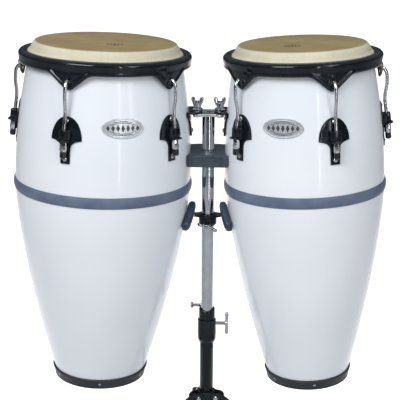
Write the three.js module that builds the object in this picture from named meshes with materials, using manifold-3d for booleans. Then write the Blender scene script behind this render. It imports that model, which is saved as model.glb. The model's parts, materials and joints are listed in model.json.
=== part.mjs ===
// A pair of conga drums, 11 and 10 inch, hung on a double stand with a telescopic tube and a folding tripod.
// Millimetres, +Z up. The tube stands along Z; the drums hang on its -X and +X sides; players stand at -Y.
import * as THREE from 'three';
import { mergeVertices } from 'three/addons/utils/BufferGeometryUtils.js';
import Module from 'manifold-3d';

const wasm = await Module();
wasm.setup();

// ---- Driving dimensions -------------------------------------------------------------------------------

// Clearances: between touching pieces, and round what turns or slides.
const GAP = 0.3;
const RUNNING = 0.4;

// The drums. Lean tips each head in towards the tube; stand-off is from the tube's axis to the shell.
const DRUMS = [
  { label: '11', side: -1, headRadius: 139.7, bellyRadius: 178.5, footRadius: 91, lean: 2.1, standOff: 40.3 },
  { label: '10', side: 1, headRadius: 127, bellyRadius: 162.3, footRadius: 82.7, lean: 2.7, standOff: 37.1 },
];
const DRUM_HEIGHT = 711;
const BELLY_DEPTH = 285;
const SHELL_WALL = 6;
const BEARING_STEP = 5.3;

const SKIN = 2;
const COLLAR_ROOM = 2.5;
const COLLAR_DEPTH = 19;

const RIM_WIDTH = 18.6;
const RIM_LIP = 1.4;
const RIM_TOP = 18;
const RIM_BOTTOM = 43;
const RIM_SHEET = 3.5;
const HOOP_TOP = RIM_TOP + 7.4;
const HOOP_BOTTOM = HOOP_TOP + 9.6;

const LUG_COUNT = 5;
const EAR_WIDTH = 87;
const EAR_REACH = 30;
const EAR_TIP_RADIUS = 16;
const EAR_ROOM = 2.5;
const EAR_OVERLAP = 4;
const ROD_RADIUS = 3.5;
const HOOK_HOLE = ROD_RADIUS + 2.1;
const HOOK_HOLE_DEPTH = RIM_BOTTOM + 11.3;
const HOOK_TIP_ROOM = 4;
const HOOK_BULGE = 3.5;

const LUG_TOP = 122;
const LUG_SHOULDER = 167;
const LUG_BOTTOM = 212;
const LUG_WIDTH = 62;
const LUG_STEM = 19;
const LUG_PLATE = 2.5;
const BLOCK_CENTRE = 157;
const BLOCK_HEIGHT = 22;
const BLOCK_WIDTH = 23;
const ROD_BORE = ROD_RADIUS + 1.2;
const NUT_WALL = 1.6;
const NUT_CORNER = (ROD_BORE + NUT_WALL) / Math.cos(Math.PI / 6);
const NUT_LENGTH = 19;
const NUT_CAP = 13;
const NUT_ROOM = 0.8;
const ROD_OFFSET = GAP + LUG_PLATE + NUT_CORNER + NUT_ROOM;
const BLOCK_WALL = 3.4;
const BLOCK_LIP = 4;

const BASE_RING_HEIGHT = 22;
const BASE_RING_WALL = 3;
const BASE_RING_FLOOR = 5;

// The stand's upper part, measured down from the top plate.
const FOOT_CLEARANCE = 230;
const FLANGE_DEPTH = 132;
const PLATE_HEIGHT = FOOT_CLEARANCE + DRUM_HEIGHT - FLANGE_DEPTH;
const UPPER_TUBE = 12.7;
const UPPER_TUBE_WALL = 2;
const PLATE_THICKNESS = 5;
const PLATE_CLEARANCE = 1;
const PLATE_DEPTH = 56;
const PLATE_CORNER = 12;
const BOLT_SPACING = 45;
const BOSS_LENGTH = 11;
const PLUG_LENGTH = 30;
const STUD_RADIUS = 4;
const FLANGE = 4;
const FLANGE_WIDTH = 70;
const FLANGE_TIP = 12;
const BRACKET_LEG = 52;
const BRACKET_LEG_END = 26;
const BRACKET_SHEET = 4;

const CUSHION_TOP = 78;
const CUSHION_HEIGHT = 25;
const CUSHION_DEPTH = 110;
const CUSHION_OVERHANG = 8;
const CUSHION_CORNER = 8;

const YOKE_TOP = 213;
const YOKE_PLATE = 4;
const YOKE_DECK_DROP = 2;
const YOKE_WALL = 6.2;
const YOKE_COLLAR = UPPER_TUBE + RUNNING + YOKE_WALL;
const YOKE_BOSS = 5;
const YOKE_BOSS_RADIUS = 7.5;
const YOKE_COLLAR_LENGTH = 26;
const YOKE_ARM_DEPTH = 26;
const YOKE_SCREW_DROP = 21;
const BUMPER_LENGTH = 66;
const BUMPER_WIDTH = 26;
const BUMPER_THICKNESS = 17;
const BUMPER_DEPTH = 346;
const BUMPER_TURN = 45;
const BUMPER_SHIFT = 26;
const BUMPER_ROOM = 1;

// The tubes and the height collar, measured up from the floor.
const UPPER_TUBE_BOTTOM = 190;
const LOWER_TUBE_WALL = 1.4;
const LOWER_TUBE = UPPER_TUBE + RUNNING + LOWER_TUBE_WALL;
const LOWER_TUBE_BOTTOM = 70;
const COLLAR_TOP = 386;
const COLLAR_BOTTOM = 310;
const COLLAR_STEP = 361;
const COLLAR_WALL = 5;
const COLLAR_RADIUS = LOWER_TUBE + GAP + COLLAR_WALL;
const COLLAR_NECK_WALL = 4;
const COLLAR_NECK = UPPER_TUBE + GAP + COLLAR_NECK_WALL;
const HEIGHT_SCREW_Z = 351;
const GRIP_REACH = COLLAR_RADIUS + 22.7;
const GRIP_SPAN = 51;
const GRIP_BREADTH = 8;
const PINCH_SCREW_Z = COLLAR_TOP - 3;
const PINCH_SCREW_Y = COLLAR_NECK + 4.5;
const PINCH_REACH = 36;
const PINCH_EAR = 9;

// The tripod. Each brace is as long as the stretch of leg above its joint, so the two fold evenly.
const HUB_Z = 185;
const HUB_WALL = 5.1;
const HUB_RADIUS = LOWER_TUBE + RUNNING + HUB_WALL;
const PIVOT_RADIUS = HUB_RADIUS + 8;
const LEG_SLOPE = 28;
const LEG_LENGTH = 376;
const LEG_BAR = 14;
const LEG_BREADTH = 16;
const BRACE_LENGTH = 100;
const BRACE_BAR = 13;
const BRACE_SHEET = 3.5;
const PIN_RADIUS = 4;
const BRACE_PIN = 3;
const CLEVIS_SHEET = 4;
const CLEVIS_EDGE = 3;
const FOOT_LENGTH = 36;
const FOOT_BREADTH = 28;
const FOOT_HEIGHT = 26;

const DRUM_SIDES = 30;
const TUBE_SIDES = 16;
const ROD_SIDES = 6;
const BORE_SIDES = 8;
const SHELL_STEP = 80;
const SAMPLE_STEP = 34;
const CURVE_STEPS = 3;

const FINISHES = {
  lacquer: { color: 0xdae0ea, roughness: 0.12, metalness: 0 },
  hide: { color: 0xa89270, roughness: 0.7, metalness: 0 },
  blackPaint: { color: 0x141618, roughness: 0.3, metalness: 0.3 },
  chrome: { color: 0xc8ccd2, roughness: 0.12, metalness: 1 },
  rubber: { color: 0x4a515c, roughness: 0.8, metalness: 0 },
  blackRubber: { color: 0x1b1c1e, roughness: 0.75, metalness: 0 },
};

// ---- Making solids ------------------------------------------------------------------------------------

// A closed solid from a geometry: seams welded, collapsed triangles dropped, faces turned outwards.
function solid(geometry) {
  const bare = geometry.clone();
  bare.deleteAttribute('normal');
  bare.deleteAttribute('uv');
  const welded = mergeVertices(bare, 1e-3);
  const position = welded.attributes.position;
  const triangles = [];
  let volume = 0;
  const corner = [new THREE.Vector3(), new THREE.Vector3(), new THREE.Vector3()];
  for (let i = 0; i < welded.index.count; i += 3) {
    const [a, b, c] = [0, 1, 2].map((k) => welded.index.getX(i + k));
    if (a === b || b === c || c === a) continue;
    triangles.push(a, b, c);
    [a, b, c].forEach((vertex, k) => corner[k].fromBufferAttribute(position, vertex));
    volume += corner[0].dot(corner[1].clone().cross(corner[2]));
  }
  if (volume < 0) triangles.reverse();
  const mesh = new wasm.Mesh({
    numProp: 3,
    vertProperties: new Float32Array(position.array),
    triVerts: new Uint32Array(triangles),
  });
  return new wasm.Manifold(mesh);
}

// A solid turned about Z from an outline of [radius, height] points, which starts and ends on the axis
// or, as a ring's section does, closes on itself.
function turned(outline, sides) {
  const points = outline.map(([radius, height]) => new THREE.Vector2(radius, height));
  if (outline[0][0] > 0) points.push(points[0].clone());
  const geometry = new THREE.LatheGeometry(points, sides, Math.PI / 2);
  return geometry.rotateX(Math.PI / 2);
}

// A round bar about Z, between two heights.
function bar(radius, low, high, sides = BORE_SIDES) {
  return turned([[0, low], [radius, low], [radius, high], [0, high]], sides);
}

// A tube about Z, between two heights.
function pipe(inner, outer, low, high, sides = TUBE_SIDES) {
  return turned([[inner, low], [outer, low], [outer, high], [inner, high]], sides);
}

// An outline drawn in X and Y, extruded up from a height.
function raised(outline, low, high) {
  const options = { depth: high - low, bevelEnabled: false, curveSegments: CURVE_STEPS };
  return new THREE.ExtrudeGeometry(outline, options).translate(0, 0, low);
}

// An outline drawn in Y and Z, extruded along +X.
function alongX(outline, low, high) {
  const axes = new THREE.Matrix4().makeBasis(
    new THREE.Vector3(0, 1, 0), new THREE.Vector3(0, 0, 1), new THREE.Vector3(1, 0, 0));
  return raised(outline, low, high).applyMatrix4(axes);
}

// An outline drawn in X and Z, extruded along Y between two values of Y.
function alongY(outline, low, high) {
  const axes = new THREE.Matrix4().makeBasis(
    new THREE.Vector3(1, 0, 0), new THREE.Vector3(0, 0, 1), new THREE.Vector3(0, -1, 0));
  return raised(outline, -high, -low).applyMatrix4(axes);
}

// A box between two corners.
function block(low, high) {
  const size = high.map((value, k) => value - low[k]);
  const geometry = new THREE.BoxGeometry(...size);
  return geometry.translate(...low.map((value, k) => value + size[k] / 2));
}

function joined(...geometries) {
  return geometries.map(solid).reduce((whole, next) => whole.add(next));
}

function cutFrom(whole, ...geometries) {
  return geometries.reduce((rest, next) => rest.subtract(solid(next)), whole);
}

function outlineOf(points) {
  return new THREE.Shape(points.map(([x, y]) => new THREE.Vector2(x, y)));
}

// A rectangle about the origin with round corners.
function roundedRectangle(length, breadth, radius) {
  const shape = new THREE.Shape();
  const x = length / 2 - radius;
  const y = breadth / 2 - radius;
  shape.absarc(x, y, radius, 0, Math.PI / 2);
  shape.absarc(-x, y, radius, Math.PI / 2, Math.PI);
  shape.absarc(-x, -y, radius, Math.PI, 1.5 * Math.PI);
  shape.absarc(x, -y, radius, 1.5 * Math.PI, 2 * Math.PI);
  return shape;
}

function roundHole(x, y, radius) {
  return new THREE.Path().absarc(x, y, radius, 0, 2 * Math.PI);
}

function piece(name, whole, finish, parent) {
  const { vertProperties, triVerts } = whole.getMesh();
  const geometry = new THREE.BufferGeometry();
  geometry.setAttribute('position', new THREE.BufferAttribute(vertProperties, 3));
  geometry.setIndex(new THREE.BufferAttribute(triVerts, 1));
  geometry.computeVertexNormals();
  const mesh = new THREE.Mesh(geometry, new THREE.MeshStandardMaterial(FINISHES[finish]));
  mesh.name = name;
  parent.add(mesh);
  return mesh;
}

function placed(parent, x, y, z) {
  const group = new THREE.Group();
  group.position.set(x, y, z);
  parent.add(group);
  return group;
}

// ---- The drums, each in its own frame: axis along Z, head at Z = 0, stand towards +X ------------------

// The shell's outer radius at a height below the head: a parabola down to the belly, then a slower taper.
function shellRadius(drum, z) {
  const depth = -z;
  if (depth < BELLY_DEPTH) {
    const above = (BELLY_DEPTH - depth) / BELLY_DEPTH;
    return drum.bellyRadius - (drum.bellyRadius - drum.headRadius - BEARING_STEP) * above ** 2;
  }
  const below = (depth - BELLY_DEPTH) / (DRUM_HEIGHT - BELLY_DEPTH);
  return drum.bellyRadius - (drum.bellyRadius - drum.footRadius) * below ** 1.45;
}

function shellSlope(drum, z) {
  return (shellRadius(drum, z + 1) - shellRadius(drum, z - 1)) / 2;
}

// Points [radius, height] up the shell's surface, moved out by an offset.
function shellLine(drum, offset, low, high, step) {
  const count = Math.ceil((high - low) / step);
  return Array.from({ length: count + 1 }, (_, k) => {
    const z = low + (high - low) * k / count;
    return [shellRadius(drum, z) + offset, z];
  });
}

// The shell's outer form as a full solid, grown by an offset; it cuts whatever rests on the shell.
function shellForm(drum, offset, low, high) {
  return turned([[0, low], ...shellLine(drum, offset, low, high, SAMPLE_STEP), [0, high]], DRUM_SIDES);
}

// A sheet that follows the shell on its stand side, cut to an outline drawn in Y and Z.
function wrapped(drum, outline, sheet, low, high) {
  const prism = solid(alongX(outline, drum.footRadius / 2, drum.bellyRadius + drum.headRadius));
  const outer = solid(shellForm(drum, GAP + sheet, low, high));
  return cutFrom(prism.intersect(outer), shellForm(drum, GAP, low - SAMPLE_STEP, high + SAMPLE_STEP));
}

// The outer radius of the head's collar where it meets the rim.
function collarRadius(drum) {
  return shellRadius(drum, -COLLAR_DEPTH) + SKIN + COLLAR_ROOM;
}

// The rim's outer radius: round the flesh hoop, and clear of the shell at the ears' tips.
function rimRadius(drum) {
  const roundEars = shellRadius(drum, -RIM_BOTTOM - EAR_REACH) + RIM_SHEET + EAR_ROOM;
  return Math.max(collarRadius(drum) + RIM_WIDTH, roundEars);
}

function shell(drum) {
  const foot = -DRUM_HEIGHT + BASE_RING_FLOOR;
  const chamferBottom = -COLLAR_DEPTH + SKIN;
  const outside = shellLine(drum, 0, foot, chamferBottom, SHELL_STEP);
  outside[outside.length - 1][0] -= GAP;
  const inside = shellLine(drum, -SHELL_WALL, foot, chamferBottom, 1.5 * SHELL_STEP).reverse();
  const crest = drum.headRadius - 3;
  return solid(turned([
    ...outside, [crest, -SKIN - GAP], [crest - SHELL_WALL, -SKIN - 2], ...inside,
  ], DRUM_SIDES));
}

function baseRing(drum) {
  const top = -DRUM_HEIGHT + BASE_RING_HEIGHT;
  const foot = -DRUM_HEIGHT + BASE_RING_FLOOR;
  const bottomRadius = shellRadius(drum, foot) + GAP;
  return solid(turned([
    [bottomRadius - SHELL_WALL, -DRUM_HEIGHT], [bottomRadius + BASE_RING_WALL, -DRUM_HEIGHT],
    [shellRadius(drum, top) + GAP + BASE_RING_WALL, top], [shellRadius(drum, top) + GAP, top],
    [bottomRadius, foot - GAP], [bottomRadius - SHELL_WALL, foot - GAP],
  ], DRUM_SIDES));
}

// The skin, its sloping collar and the flesh hoop that the rim pulls down.
function head(drum) {
  const radius = drum.headRadius;
  const collar = collarRadius(drum);
  const hoopOutside = rimRadius(drum) - RIM_SHEET - 2;
  const hoopInside = shellRadius(drum, -HOOP_BOTTOM) + 1;
  return solid(turned([
    [0, 0], [radius - 3, 0], [radius, -1], [collar, -COLLAR_DEPTH], [collar + GAP, -HOOP_TOP],
    [hoopOutside, -HOOP_TOP], [hoopOutside, -HOOP_BOTTOM], [hoopInside, -HOOP_BOTTOM],
    [collar - SKIN, -COLLAR_DEPTH], [radius - 2, -SKIN], [0, -SKIN],
  ], DRUM_SIDES));
}

// An ear: a V whose straight sides meet its round tip, pierced for the hook.
function earOutline() {
  const half = EAR_WIDTH / 2;
  const tip = -RIM_BOTTOM - EAR_REACH + EAR_TIP_RADIUS;
  const drop = -RIM_BOTTOM - tip;
  const slope = Math.atan2(drop, half) + Math.asin(EAR_TIP_RADIUS / Math.hypot(half, drop));
  const shape = new THREE.Shape();
  shape.moveTo(half, -RIM_BOTTOM + EAR_OVERLAP);
  shape.lineTo(-half, -RIM_BOTTOM + EAR_OVERLAP);
  shape.lineTo(-half, -RIM_BOTTOM);
  shape.absarc(0, tip, EAR_TIP_RADIUS, 1.5 * Math.PI - slope, 1.5 * Math.PI + slope);
  shape.lineTo(half, -RIM_BOTTOM);
  shape.holes.push(roundHole(0, -HOOK_HOLE_DEPTH, HOOK_HOLE));
  return shape;
}

function rim(drum) {
  const outside = rimRadius(drum);
  const lip = collarRadius(drum) + RIM_LIP;
  const inside = outside - RIM_SHEET;
  const sheetBottom = -RIM_BOTTOM - EAR_REACH - 5;
  const hoop = solid(turned([
    [lip, -HOOP_TOP + GAP], [lip, -RIM_TOP - 2.5], [lip + 6, -RIM_TOP], [outside - 4, -RIM_TOP - 2],
    [outside, -RIM_TOP - 8], [outside, -RIM_BOTTOM], [inside, -RIM_BOTTOM], [inside, -HOOP_TOP + GAP],
  ], DRUM_SIDES));
  const band = solid(pipe(inside, outside, sheetBottom, -RIM_BOTTOM + 2 * EAR_OVERLAP, DRUM_SIDES));
  const ears = lugAngles().map((angle) => {
    const sheet = alongX(earOutline(), drum.headRadius / 2, outside + 10).rotateZ(angle);
    return solid(sheet).intersect(band);
  });
  return ears.reduce((whole, ear) => whole.add(ear), hoop);
}

// The lugs stand evenly round the drum, with the stand midway between two of them.
function lugAngles() {
  return Array.from({ length: LUG_COUNT }, (_, k) => (k + 0.5) * 2 * Math.PI / LUG_COUNT);
}

function lugOutline() {
  const half = LUG_WIDTH / 2;
  const stem = LUG_STEM / 2;
  const shape = new THREE.Shape();
  shape.moveTo(-stem, -LUG_BOTTOM);
  shape.lineTo(stem, -LUG_BOTTOM);
  shape.lineTo(stem, -LUG_SHOULDER - 16);
  shape.quadraticCurveTo(stem + 1, -LUG_SHOULDER - 2, half, -LUG_SHOULDER);
  shape.absellipse(0, -LUG_SHOULDER, half, LUG_SHOULDER - LUG_TOP, 0, Math.PI);
  shape.quadraticCurveTo(-stem - 1, -LUG_SHOULDER - 2, -stem, -LUG_SHOULDER - 16);
  return shape;
}

// A shield-shaped plate on the shell with a bored block for the hook, drawn on the +X side.
function lug(drum) {
  const plate = wrapped(drum, lugOutline(), LUG_PLATE, -LUG_BOTTOM - 5, -LUG_TOP + 5);
  const half = BLOCK_WIDTH / 2;
  const low = -BLOCK_HEIGHT / 2;
  const front = ROD_BORE + BLOCK_WALL;
  const body = raised(outlineOf([
    [-ROD_OFFSET - 4, -half], [front - 5, -half], [front, -half + 5],
    [front, half - 5], [front - 5, half], [-ROD_OFFSET - 4, half],
  ]), low, -low);
  const lip = raised(outlineOf([
    [-ROD_OFFSET - 4, -half], [front + BLOCK_LIP, -half + 5], [front + BLOCK_LIP, half - 5],
    [-ROD_OFFSET - 4, half],
  ]), low, low + 3);
  const bore = bar(ROD_BORE, 2 * low, -2 * low);
  const line = rodLine(drum);
  for (const geometry of [body, lip, bore]) {
    geometry.rotateY(line.lean).translate(line.radius, 0, -BLOCK_CENTRE);
  }
  const boss = cutFrom(joined(body, lip), shellForm(drum, GAP, -LUG_BOTTOM, -LUG_TOP));
  return cutFrom(plate.add(boss), bore);
}

// The straight end of a hook: its distance from the drum's axis at the block, and its lean.
function rodLine(drum) {
  const lean = Math.atan(shellSlope(drum, -BLOCK_CENTRE));
  return { radius: shellRadius(drum, -BLOCK_CENTRE) + ROD_OFFSET, lean };
}

// A spline sampled evenly between its points, so that bends and straights each get their share.
class BentRod extends THREE.CatmullRomCurve3 {
  getSpacedPoints(divisions) {
    return this.getPoints(divisions);
  }

  getTangentAt(t) {
    return this.getTangent(t);
  }
}

// A hook: in through the ear, over its edge, out past the rim and straight down through the block.
function hook(drum) {
  const ear = rimRadius(drum);
  const outside = ear + ROD_RADIUS + 1;
  const tip = shellRadius(drum, -HOOK_HOLE_DEPTH) + HOOK_TIP_ROOM;
  const line = rodLine(drum);
  const onLine = (z) => [line.radius + (z + BLOCK_CENTRE) * Math.tan(line.lean), z];
  const points = [
    [tip, -HOOK_HOLE_DEPTH], [ear - 1, -HOOK_HOLE_DEPTH], [outside, -HOOK_HOLE_DEPTH - 5.5],
    [outside + HOOK_BULGE, -HOOK_HOLE_DEPTH - 28], onLine(-LUG_TOP + 8),
    onLine(-BLOCK_CENTRE + BLOCK_HEIGHT / 2 + 3),
    onLine(-BLOCK_CENTRE - BLOCK_HEIGHT / 2 - NUT_LENGTH + 3),
  ].map(([radius, z]) => new THREE.Vector3(radius, 0, z));
  const section = new THREE.Shape().absarc(0, 0, ROD_RADIUS, 0, 2 * Math.PI);
  return solid(new THREE.ExtrudeGeometry(section, {
    extrudePath: new BentRod(points), steps: 2 * (points.length - 1), curveSegments: ROD_SIDES / 2,
  }));
}

// A tuning nut with its domed cap, bored blind for the hook; its axis is Z and its top face is at Z = 0.
function nut() {
  const capRadius = ROD_BORE + NUT_WALL - GAP;
  const hex = bar(NUT_CORNER, -NUT_LENGTH, 0, 6);
  const dome = turned([
    [0, -NUT_LENGTH - NUT_CAP], [capRadius * 0.7, -NUT_LENGTH - NUT_CAP + 1.5],
    [capRadius, -NUT_LENGTH - NUT_CAP + 5], [capRadius, -NUT_LENGTH + 1], [0, -NUT_LENGTH + 1],
  ], BORE_SIDES);
  return cutFrom(joined(hex, dome), bar(ROD_BORE, -NUT_LENGTH + 1.5, 1));
}

// The bracket's horizontal flange, drawn in the stand's frame for the +X side. A slot, open towards the
// tube, takes the wing bolt.
function flange(drum) {
  const half = FLANGE_WIDTH / 2;
  const bolt = BOLT_SPACING / 2;
  const slot = STUD_RADIUS + RUNNING;
  const far = drum.standOff + FLANGE_WIDTH / 2;
  const shape = new THREE.Shape();
  shape.moveTo(far, half);
  shape.lineTo(drum.standOff - 2, half);
  shape.quadraticCurveTo(FLANGE_TIP + 4, half - 2, FLANGE_TIP, half / 2);
  shape.lineTo(FLANGE_TIP, slot);
  shape.absarc(bolt, 0, slot, Math.PI / 2, -Math.PI / 2, true);
  shape.lineTo(FLANGE_TIP, -slot);
  shape.lineTo(FLANGE_TIP, -half / 2);
  shape.quadraticCurveTo(FLANGE_TIP + 4, -half + 2, drum.standOff - 2, -half);
  shape.lineTo(far, -half);
  const low = PLATE_HEIGHT + GAP;
  return raised(shape, low, low + FLANGE);
}

function bracketLegOutline() {
  const half = FLANGE_WIDTH / 2;
  const end = BRACKET_LEG_END / 2;
  const bottom = -FLANGE_DEPTH - BRACKET_LEG;
  const shape = new THREE.Shape();
  shape.moveTo(half, -FLANGE_DEPTH + 2);
  shape.lineTo(-half, -FLANGE_DEPTH + 2);
  shape.lineTo(-half, -FLANGE_DEPTH - 8);
  shape.quadraticCurveTo(-end - 2, -FLANGE_DEPTH - 16, -end, bottom + end);
  shape.absarc(0, bottom + end, end, Math.PI, 2 * Math.PI);
  shape.quadraticCurveTo(end + 2, -FLANGE_DEPTH - 16, half, -FLANGE_DEPTH - 8);
  return shape;
}

function mountBracket(drum, toDrum) {
  const bottom = -FLANGE_DEPTH - BRACKET_LEG;
  const leg = wrapped(drum, bracketLegOutline(), BRACKET_SHEET, bottom - 5, -FLANGE_DEPTH + 6);
  const tongue = flange(drum);
  if (drum.side < 0) tongue.rotateZ(Math.PI);
  tongue.applyMatrix4(toDrum);
  const form = shellForm(drum, GAP, -FLANGE_DEPTH - SAMPLE_STEP, -FLANGE_DEPTH + SAMPLE_STEP);
  return leg.add(cutFrom(solid(tongue), form));
}

// The drum's frame in the stand: turned so that +X meets the tube, leaning in, and set so that the flange
// meets the shell at its depth below the head.
function drumFrame(drum) {
  const lean = THREE.MathUtils.degToRad(drum.lean);
  const turn = drum.side > 0 ? Math.PI : 0;
  const rotation = new THREE.Quaternion().setFromEuler(new THREE.Euler(0, lean, turn, 'ZYX'));
  const meeting = new THREE.Vector3(shellRadius(drum, -FLANGE_DEPTH), 0, -FLANGE_DEPTH);
  const target = new THREE.Vector3(drum.side * drum.standOff, 0, PLATE_HEIGHT + GAP + FLANGE / 2);
  const position = target.sub(meeting.applyQuaternion(rotation));
  return new THREE.Matrix4().compose(position, rotation, new THREE.Vector3(1, 1, 1));
}

// The shell's form beside the stand, round a depth below the top plate.
function shellBeside(drum, offset, depth) {
  const middle = -FLANGE_DEPTH - depth;
  const form = shellForm(drum, offset, middle - 2 * SAMPLE_STEP, middle + 2 * SAMPLE_STEP);
  return form.applyMatrix4(drumFrame(drum));
}

function addDrum(drum, stand) {
  const frame = drumFrame(drum);
  const group = new THREE.Group();
  frame.decompose(group.position, group.quaternion, group.scale);
  stand.add(group);
  const toDrum = frame.clone().invert();
  piece(`shell_${drum.label}`, shell(drum), 'lacquer', group);
  piece(`head_${drum.label}`, head(drum), 'hide', group);
  piece(`rim_${drum.label}`, rim(drum), 'blackPaint', group);
  piece(`base_ring_${drum.label}`, baseRing(drum), 'blackRubber', group);
  piece(`mount_bracket_${drum.label}`, mountBracket(drum, toDrum), 'blackPaint', group);
  const line = rodLine(drum);
  lugAngles().forEach((angle, k) => {
    const spoke = placed(group, 0, 0, 0);
    spoke.rotation.z = angle;
    piece(`lug_${drum.label}_${k + 1}`, lug(drum), 'blackPaint', spoke);
    piece(`hook_${drum.label}_${k + 1}`, hook(drum), 'chrome', spoke);
    const underBlock = -BLOCK_HEIGHT / 2 - RUNNING;
    const nutGroup = placed(spoke, line.radius + underBlock * Math.sin(line.lean), 0,
      -BLOCK_CENTRE + underBlock * Math.cos(line.lean));
    nutGroup.rotation.y = line.lean;
    piece(`nut_${drum.label}_${k + 1}`, nut(), 'chrome', nutGroup);
  });
}

// ---- The stand ----------------------------------------------------------------------------------------

// A wing screw about Z: a shank down to -shank, a hub up from Z = 0, and two blades that rise to the span.
function wingScrew({ shank, shankRadius, hubRadius, hubHeight, span, rise, sheet, washer = 0 }) {
  const parts = [
    bar(shankRadius, -shank, 1),
    bar(hubRadius, 0, hubHeight),
  ];
  if (washer > 0) parts.push(bar(washer, 0, 2));
  const tip = 3.5;
  const reach = span / 2 - tip;
  for (const hand of [-1, 1]) {
    const blade = new THREE.Shape();
    blade.moveTo(0, 2.5);
    blade.lineTo(hubRadius, 2.5);
    blade.quadraticCurveTo(reach, rise * 0.3, reach + tip, rise - tip);
    blade.absarc(reach, rise - tip, tip, 0, Math.PI);
    blade.quadraticCurveTo(reach - tip, rise * 0.55, hubRadius * 0.6, hubHeight - 2);
    blade.lineTo(0, hubHeight - 2);
    parts.push(alongY(blade, -sheet / 2, sheet / 2).scale(hand, 1, 1));
  }
  return joined(...parts);
}

// The distance from the tube's axis to the bracket's leg beside the plate.
function bracketReach(drum) {
  const foot = -FLANGE_DEPTH - FLANGE - PLATE_THICKNESS;
  const swell = shellRadius(drum, foot) - shellRadius(drum, -FLANGE_DEPTH);
  return drum.standOff - swell - BRACKET_SHEET - GAP;
}

// The top plate: a deck with a threaded boss under each wing bolt and a plug that turns in the tube.
function topPlate() {
  const low = PLATE_HEIGHT - PLATE_THICKNESS;
  const bolt = BOLT_SPACING / 2;
  const length = 2 * (Math.min(...DRUMS.map(bracketReach)) - PLATE_CLEARANCE);
  const parts = [raised(roundedRectangle(length, PLATE_DEPTH, PLATE_CORNER), low, PLATE_HEIGHT)];
  const bores = [];
  const bossRadius = bolt - UPPER_TUBE - 2 * GAP;
  for (const side of [-1, 1]) {
    parts.push(bar(bossRadius, PLATE_HEIGHT - BOSS_LENGTH, low + 1).translate(side * bolt, 0, 0));
    bores.push(bar(STUD_RADIUS + RUNNING, low - BOSS_LENGTH, PLATE_HEIGHT + 1).translate(side * bolt, 0, 0));
  }
  parts.push(bar(UPPER_TUBE - UPPER_TUBE_WALL - RUNNING, low - PLUG_LENGTH, low + 1, TUBE_SIDES));
  return cutFrom(joined(...parts), ...bores);
}

// The rubber block that keeps the shells apart: its ends are hollowed to both drums.
function cushionBlock() {
  const top = PLATE_HEIGHT - CUSHION_TOP;
  const widest = DRUMS[0].standOff + DRUMS[1].standOff;
  const outline = roundedRectangle(widest + 2 * CUSHION_OVERHANG, CUSHION_DEPTH, CUSHION_CORNER);
  const bore = bar(UPPER_TUBE + RUNNING, top - CUSHION_HEIGHT - 1, top + 1, TUBE_SIDES);
  return DRUMS.reduce(
    (rest, drum) => cutFrom(rest, shellBeside(drum, 2 * GAP, CUSHION_TOP + CUSHION_HEIGHT / 2)),
    cutFrom(solid(raised(outline, top - CUSHION_HEIGHT, top)), bore),
  );
}

// The yoke that steadies the bellies: a clamping collar and a plate whose arms reach for the bumpers.
function bumperYoke() {
  const top = PLATE_HEIGHT - YOKE_TOP;
  const bottom = top - YOKE_COLLAR_LENGTH;
  const screwZ = top - YOKE_SCREW_DROP;
  const bore = UPPER_TUBE + RUNNING;
  const collar = turned([
    [bore, bottom], [YOKE_COLLAR - 3, bottom], [YOKE_COLLAR, bottom + 4], [YOKE_COLLAR, top], [bore, top],
  ], TUBE_SIDES);
  const deckTop = top - YOKE_DECK_DROP;
  const deckSize = 2 * YOKE_COLLAR + 4;
  const deck = raised(roundedRectangle(deckSize, deckSize, YOKE_COLLAR - 4), deckTop - YOKE_PLATE, deckTop);
  const armSpan = 2 * Math.max(...DRUMS.map((drum) => drum.standOff));
  const arms = raised(roundedRectangle(armSpan, YOKE_ARM_DEPTH, 4), deckTop - YOKE_PLATE, deckTop);
  const boss = bar(YOKE_BOSS_RADIUS, bore + 1, YOKE_COLLAR + YOKE_BOSS);
  boss.rotateX(Math.PI / 2).translate(0, 0, screwZ);
  const padFace = GAP + BUMPER_THICKNESS + BUMPER_ROOM;
  const trimmed = DRUMS.reduce(
    (rest, drum) => cutFrom(rest, shellBeside(drum, padFace, YOKE_TOP)),
    joined(deck, arms),
  );
  const screwBore = bar(STUD_RADIUS + RUNNING, 0, YOKE_COLLAR + YOKE_BOSS + 1);
  screwBore.rotateX(Math.PI / 2).translate(0, 0, screwZ);
  const whole = trimmed.add(joined(collar, boss));
  return cutFrom(whole, screwBore, bar(bore, bottom - 1, top + 1, TUBE_SIDES));
}

// A bumper: a thick pad on the shell, its lower end turned towards the players.
function bumper(drum) {
  const outline = roundedRectangle(BUMPER_WIDTH, BUMPER_LENGTH, BUMPER_WIDTH / 2);
  const turn = THREE.MathUtils.degToRad(BUMPER_TURN) * drum.side;
  const middle = drum.side * BUMPER_SHIFT;
  const points = outline.getPoints(6).map((point) => {
    const turned = point.clone().rotateAround(new THREE.Vector2(), turn);
    return [turned.x + middle, turned.y - BUMPER_DEPTH];
  });
  const reach = BUMPER_LENGTH / 2 + 5;
  return wrapped(drum, outlineOf(points), BUMPER_THICKNESS, -BUMPER_DEPTH - reach, -BUMPER_DEPTH + reach);
}

function upperTube() {
  const top = PLATE_HEIGHT - PLATE_THICKNESS - GAP;
  return solid(pipe(UPPER_TUBE - UPPER_TUBE_WALL, UPPER_TUBE, UPPER_TUBE_BOTTOM, top));
}

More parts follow.
